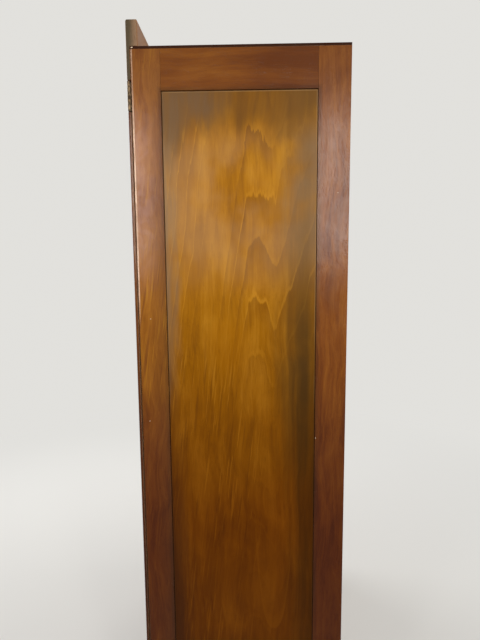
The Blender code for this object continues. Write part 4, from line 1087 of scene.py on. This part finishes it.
DOOR_SIDES = {"right": 1, "left": -1}
case_leaf_screws = []
for name, side in DOOR_SIDES.items():
    leaf_screws = []
    for end in ("top", "bottom"):
        case_leaf = f"{name}_door_{end}_hinge_case_leaf"
        low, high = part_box(case_leaf)
        reach = min(abs(low.x), abs(high.x)) + CASE_LEAF_REACH / 2
        depth = high.y - low.y - LEAF_THICKNESS
        case_leaf_screws += hinge_spots(case_leaf, depth, side * reach, (0, -1, 0))
        door_leaf = f"{name}_door_{end}_hinge_door_leaf"
        low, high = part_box(door_leaf)
        cheek = min(abs(low.x), abs(high.x)) + LEAF_THICKNESS
        depth = high.y - low.y - LEAF_RETURN / 2
        leaf_screws += hinge_spots(door_leaf, depth, side * cheek, (side, 0, 0))
    screws(f"{name}_door_hinge_screws", f"{name}_door", "brass", DOOR_LEAF_SCREW, leaf_screws)
screws("case_hinge_screws", "case", "brass", CASE_LEAF_SCREW, case_leaf_screws)

door_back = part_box("right_door_hinge_stile")[1].y
for name in DOOR_SIDES:
    low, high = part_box(f"{name}_door_knob")
    knob_place = ((low.x + high.x) / 2, door_back, (low.z + high.z) / 2)
    screws(f"{name}_knob_screw", f"{name}_door", "steel", KNOB_SCREW, [(knob_place, (0, 1, 0))])

low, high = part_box("lock_case")
lock_spots = corner_spots(low, high, high.y, LOCK_SCREW_INSET, LOCK_SCREW_INSET)
screws("lock_screws", "right_door", "steel", LOCK_SCREW, lock_spots)

for end in ("top", "bottom"):
    low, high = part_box(f"{end}_bolt_plate")
    face = low.y + BOLT_PLATE_THICKNESS
    bolt_spots = corner_spots(low, high, face, BOLT_SCREW_SIDE, BOLT_SCREW_END)
    screws(f"{end}_bolt_screws", "left_door", "steel", BOLT_SCREW, bolt_spots)

socket_spots = []
bearer_spots = []
for name, side in DOOR_SIDES.items():
    low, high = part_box(f"{name}_rail_socket")
    middle = (low + high) / 2
    face = max(abs(low.x), abs(high.x)) - SOCKET_FLANGE_THICKNESS
    for angle in map(math.radians, SOCKET_SCREW_DEGREES):
        across = middle.y + SOCKET_SCREW_RADIUS * math.cos(angle)
        height = middle.z + SOCKET_SCREW_RADIUS * math.sin(angle)
        socket_spots.append(((side * face, across, height), (-side, 0, 0)))
    low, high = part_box(f"{name}_shelf_bearer")
    face = min(abs(low.x), abs(high.x))
    for across in BEARER_SCREWS_ALONG:
        bearer_spots.append(((side * face, across, (low.z + high.z) / 2), (-side, 0, 0)))
screws("socket_screws", "case", "brass", SOCKET_SCREW, socket_spots)
screws("shelf_bearer_screws", "case", "steel", BEARER_SCREW, bearer_spots)

low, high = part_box("escutcheon")
middle = (low + high) / 2
escutcheon_spots = [
    ((middle.x, low.y, middle.z + rise), (0, -1, 0))
    for rise in (-ESCUTCHEON_PIN_RISE, ESCUTCHEON_PIN_RISE)
]
pins("escutcheon_pins", "right_door", "brass", ESCUTCHEON_PIN, escutcheon_spots)

back_spots = []
for name in DOOR_SIDES:
    low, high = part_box(f"{name}_back_panel")
    columns = (low.x + PIN_INSET, high.x - PIN_INSET)
    rows = (low.z + PIN_END_INSET, high.z - PIN_END_INSET)
    for across in columns:
        back_spots += [((across, high.y, height), (0, 1, 0)) for height in spread(*rows, BACK_PINS_UP)]
    for height in rows:
        inner = spread(*columns, BACK_PINS_ACROSS)[1:-1]
        back_spots += [((across, high.y, height), (0, 1, 0)) for across in inner]
pins("back_pins", "case", "steel", BACK_PIN, back_spots)

low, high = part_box("top_board")
top_spots = []
for across in (low.x + TOP_NAIL_INSET, high.x - TOP_NAIL_INSET):
    rows = spread(low.y + TOP_NAIL_END_INSET, high.y - TOP_NAIL_END_INSET, TOP_NAILS)
    top_spots += [((across, along, high.z), (0, 0, 1)) for along in rows]
for rail in ("top_front_rail", "top_back_rail"):
    along = (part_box(rail)[0].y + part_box(rail)[1].y) / 2
    columns = spread(-TOP_NAIL_REACH, TOP_NAIL_REACH, TOP_NAILS)
    top_spots += [((across, along, high.z), (0, 0, 1)) for across in columns]
pins("top_nails", "case", "steel", TOP_NAIL, top_spots)

flakes = bmesh.new()
for along, height, width, tall in FILLED_HOLES:
    add_flake(flakes, Vector((cad_side, along, height)), Vector((1, 0, 0)), width, tall)
make_piece("filled_nail_holes", "case", "inner_wood", flakes)


# Floor, light and camera


def seen_directly(graph):
    """1 for what the camera, a mirror or glass sees, and 0 for what only lights the object."""
    seen = graph.node("ShaderNodeLightPath", output="Is Camera Ray")
    for other in ("Is Glossy Ray", "Is Transmission Ray"):
        seen = graph.math("MAXIMUM", seen, graph.node("ShaderNodeLightPath", output=other))
    return seen


def make_floor():
    """A pale round floor that keeps the object's shadow and fades into the background."""
    mesh = bpy.data.meshes.new("floor")
    shape = bmesh.new()
    bmesh.ops.create_circle(shape, cap_ends=True, radius=FLOOR_RADIUS, segments=FLOOR_SIDES)
    shape.to_mesh(mesh)
    shape.free()
    floor = bpy.data.objects.new("floor", mesh)
    floor.location.z = -FLOOR_DROP
    bpy.context.scene.collection.objects.link(floor)
    pale = Finish("pale_floor")
    mottle = pale.step(pale.noise(pale.place, 3, 0.5, 2.0), 0.3, 0.7, 0.0, 0.25)
    colour = pale.mix(mottle, FLOOR_COLOUR, shaded(FLOOR_COLOUR, 0.96))
    pale.surface(colour, roughness=0.75, specular=0.2)
    glow = pale.node("ShaderNodeEmission", {"Color": BACKGROUND, "Strength": 1.0})
    fade = pale.step(pale.length(pale.place), *FLOOR_FADE, FLOOR_LIFT, 1.0)
    lift = pale.times(seen_directly(pale), fade)
    lifted = pale.node("ShaderNodeMixShader", {0: lift, 1: pale.shader.outputs[0], 2: glow})
    pale.feed(pale.tree.nodes["Material Output"].inputs["Surface"], lifted)
    mesh.materials.append(pale.material)


def make_surround():
    """A pale background for what the camera and the metal see, and a weaker even light for the rest."""
    world = bpy.data.worlds.new("surround")
    bpy.context.scene.world = world
    world.use_nodes = True
    surround = Graph(world.node_tree)
    shown = surround.node("ShaderNodeBackground", {"Color": BACKGROUND})
    light = surround.node("ShaderNodeBackground", {"Color": WARM_WHITE, "Strength": SURROUND_LIGHT})
    chosen = surround.node("ShaderNodeMixShader", {0: seen_directly(surround), 1: light, 2: shown})
    surround.feed(surround.tree.nodes["World Output"].inputs["Surface"], chosen)


def softbox(name, place, aim, size, radiance, colour=WHITE):
    """A rectangular lamp of the given brightness that shows only in what it lights."""
    lamp = bpy.data.lights.new(name, "AREA")
    lamp.shape = "RECTANGLE"
    lamp.size, lamp.size_y = size
    lamp.energy = radiance * math.pi * size[0] * size[1]
    lamp.color = colour
    holder = bpy.data.objects.new(name, lamp)
    turn = (Vector(aim) - Vector(place)).to_track_quat("-Z", "Y")
    holder.matrix_world = Matrix.Translation(place) @ turn.to_matrix().to_4x4()
    holder.visible_camera = False
    bpy.context.scene.collection.objects.link(holder)


def place_camera():
    """The camera at the photograph's viewpoint."""
    level = math.cos(CAMERA_PITCH)
    ahead = (-level * math.cos(CAMERA_YAW), level * math.sin(CAMERA_YAW), -math.sin(CAMERA_PITCH))
    forward = Vector(ahead)
    right = forward.cross(Vector((0, 0, 1))).normalized()
    up = right.cross(forward)
    turn = Matrix((right, up, -forward)).transposed() @ Matrix.Rotation(CAMERA_ROLL, 3, "Z")
    lens = bpy.data.cameras.new("camera")
    lens.sensor_width = SENSOR_MM
    lens.lens = FOCAL_PIXELS * SENSOR_MM / FRAME_HEIGHT_PIXELS
    lens.clip_start = CAMERA_NEAR
    camera = bpy.data.objects.new("camera", lens)
    camera.matrix_world = Matrix.Translation(CAMERA_PLACE) @ turn.to_4x4()
    bpy.context.scene.collection.objects.link(camera)
    bpy.context.scene.camera = camera


make_floor()
make_surround()
for name, along, width, radiance in SIDE_KEYS:
    place = (SIDE_KEY_OUT, along, SIDE_KEY_RISE)
    aim = (SIDE_KEY_AIM, along, SIDE_KEY_RISE)
    softbox(name, place, aim, (width, SIDE_KEY_TALL), radiance, WARM_WHITE)
for name, place, aim, side, radiance in ROUND_LAMPS:
    softbox(name, place, aim, (side, side), radiance)
place_camera()
bpy.context.scene.view_settings.view_transform = "Standard"
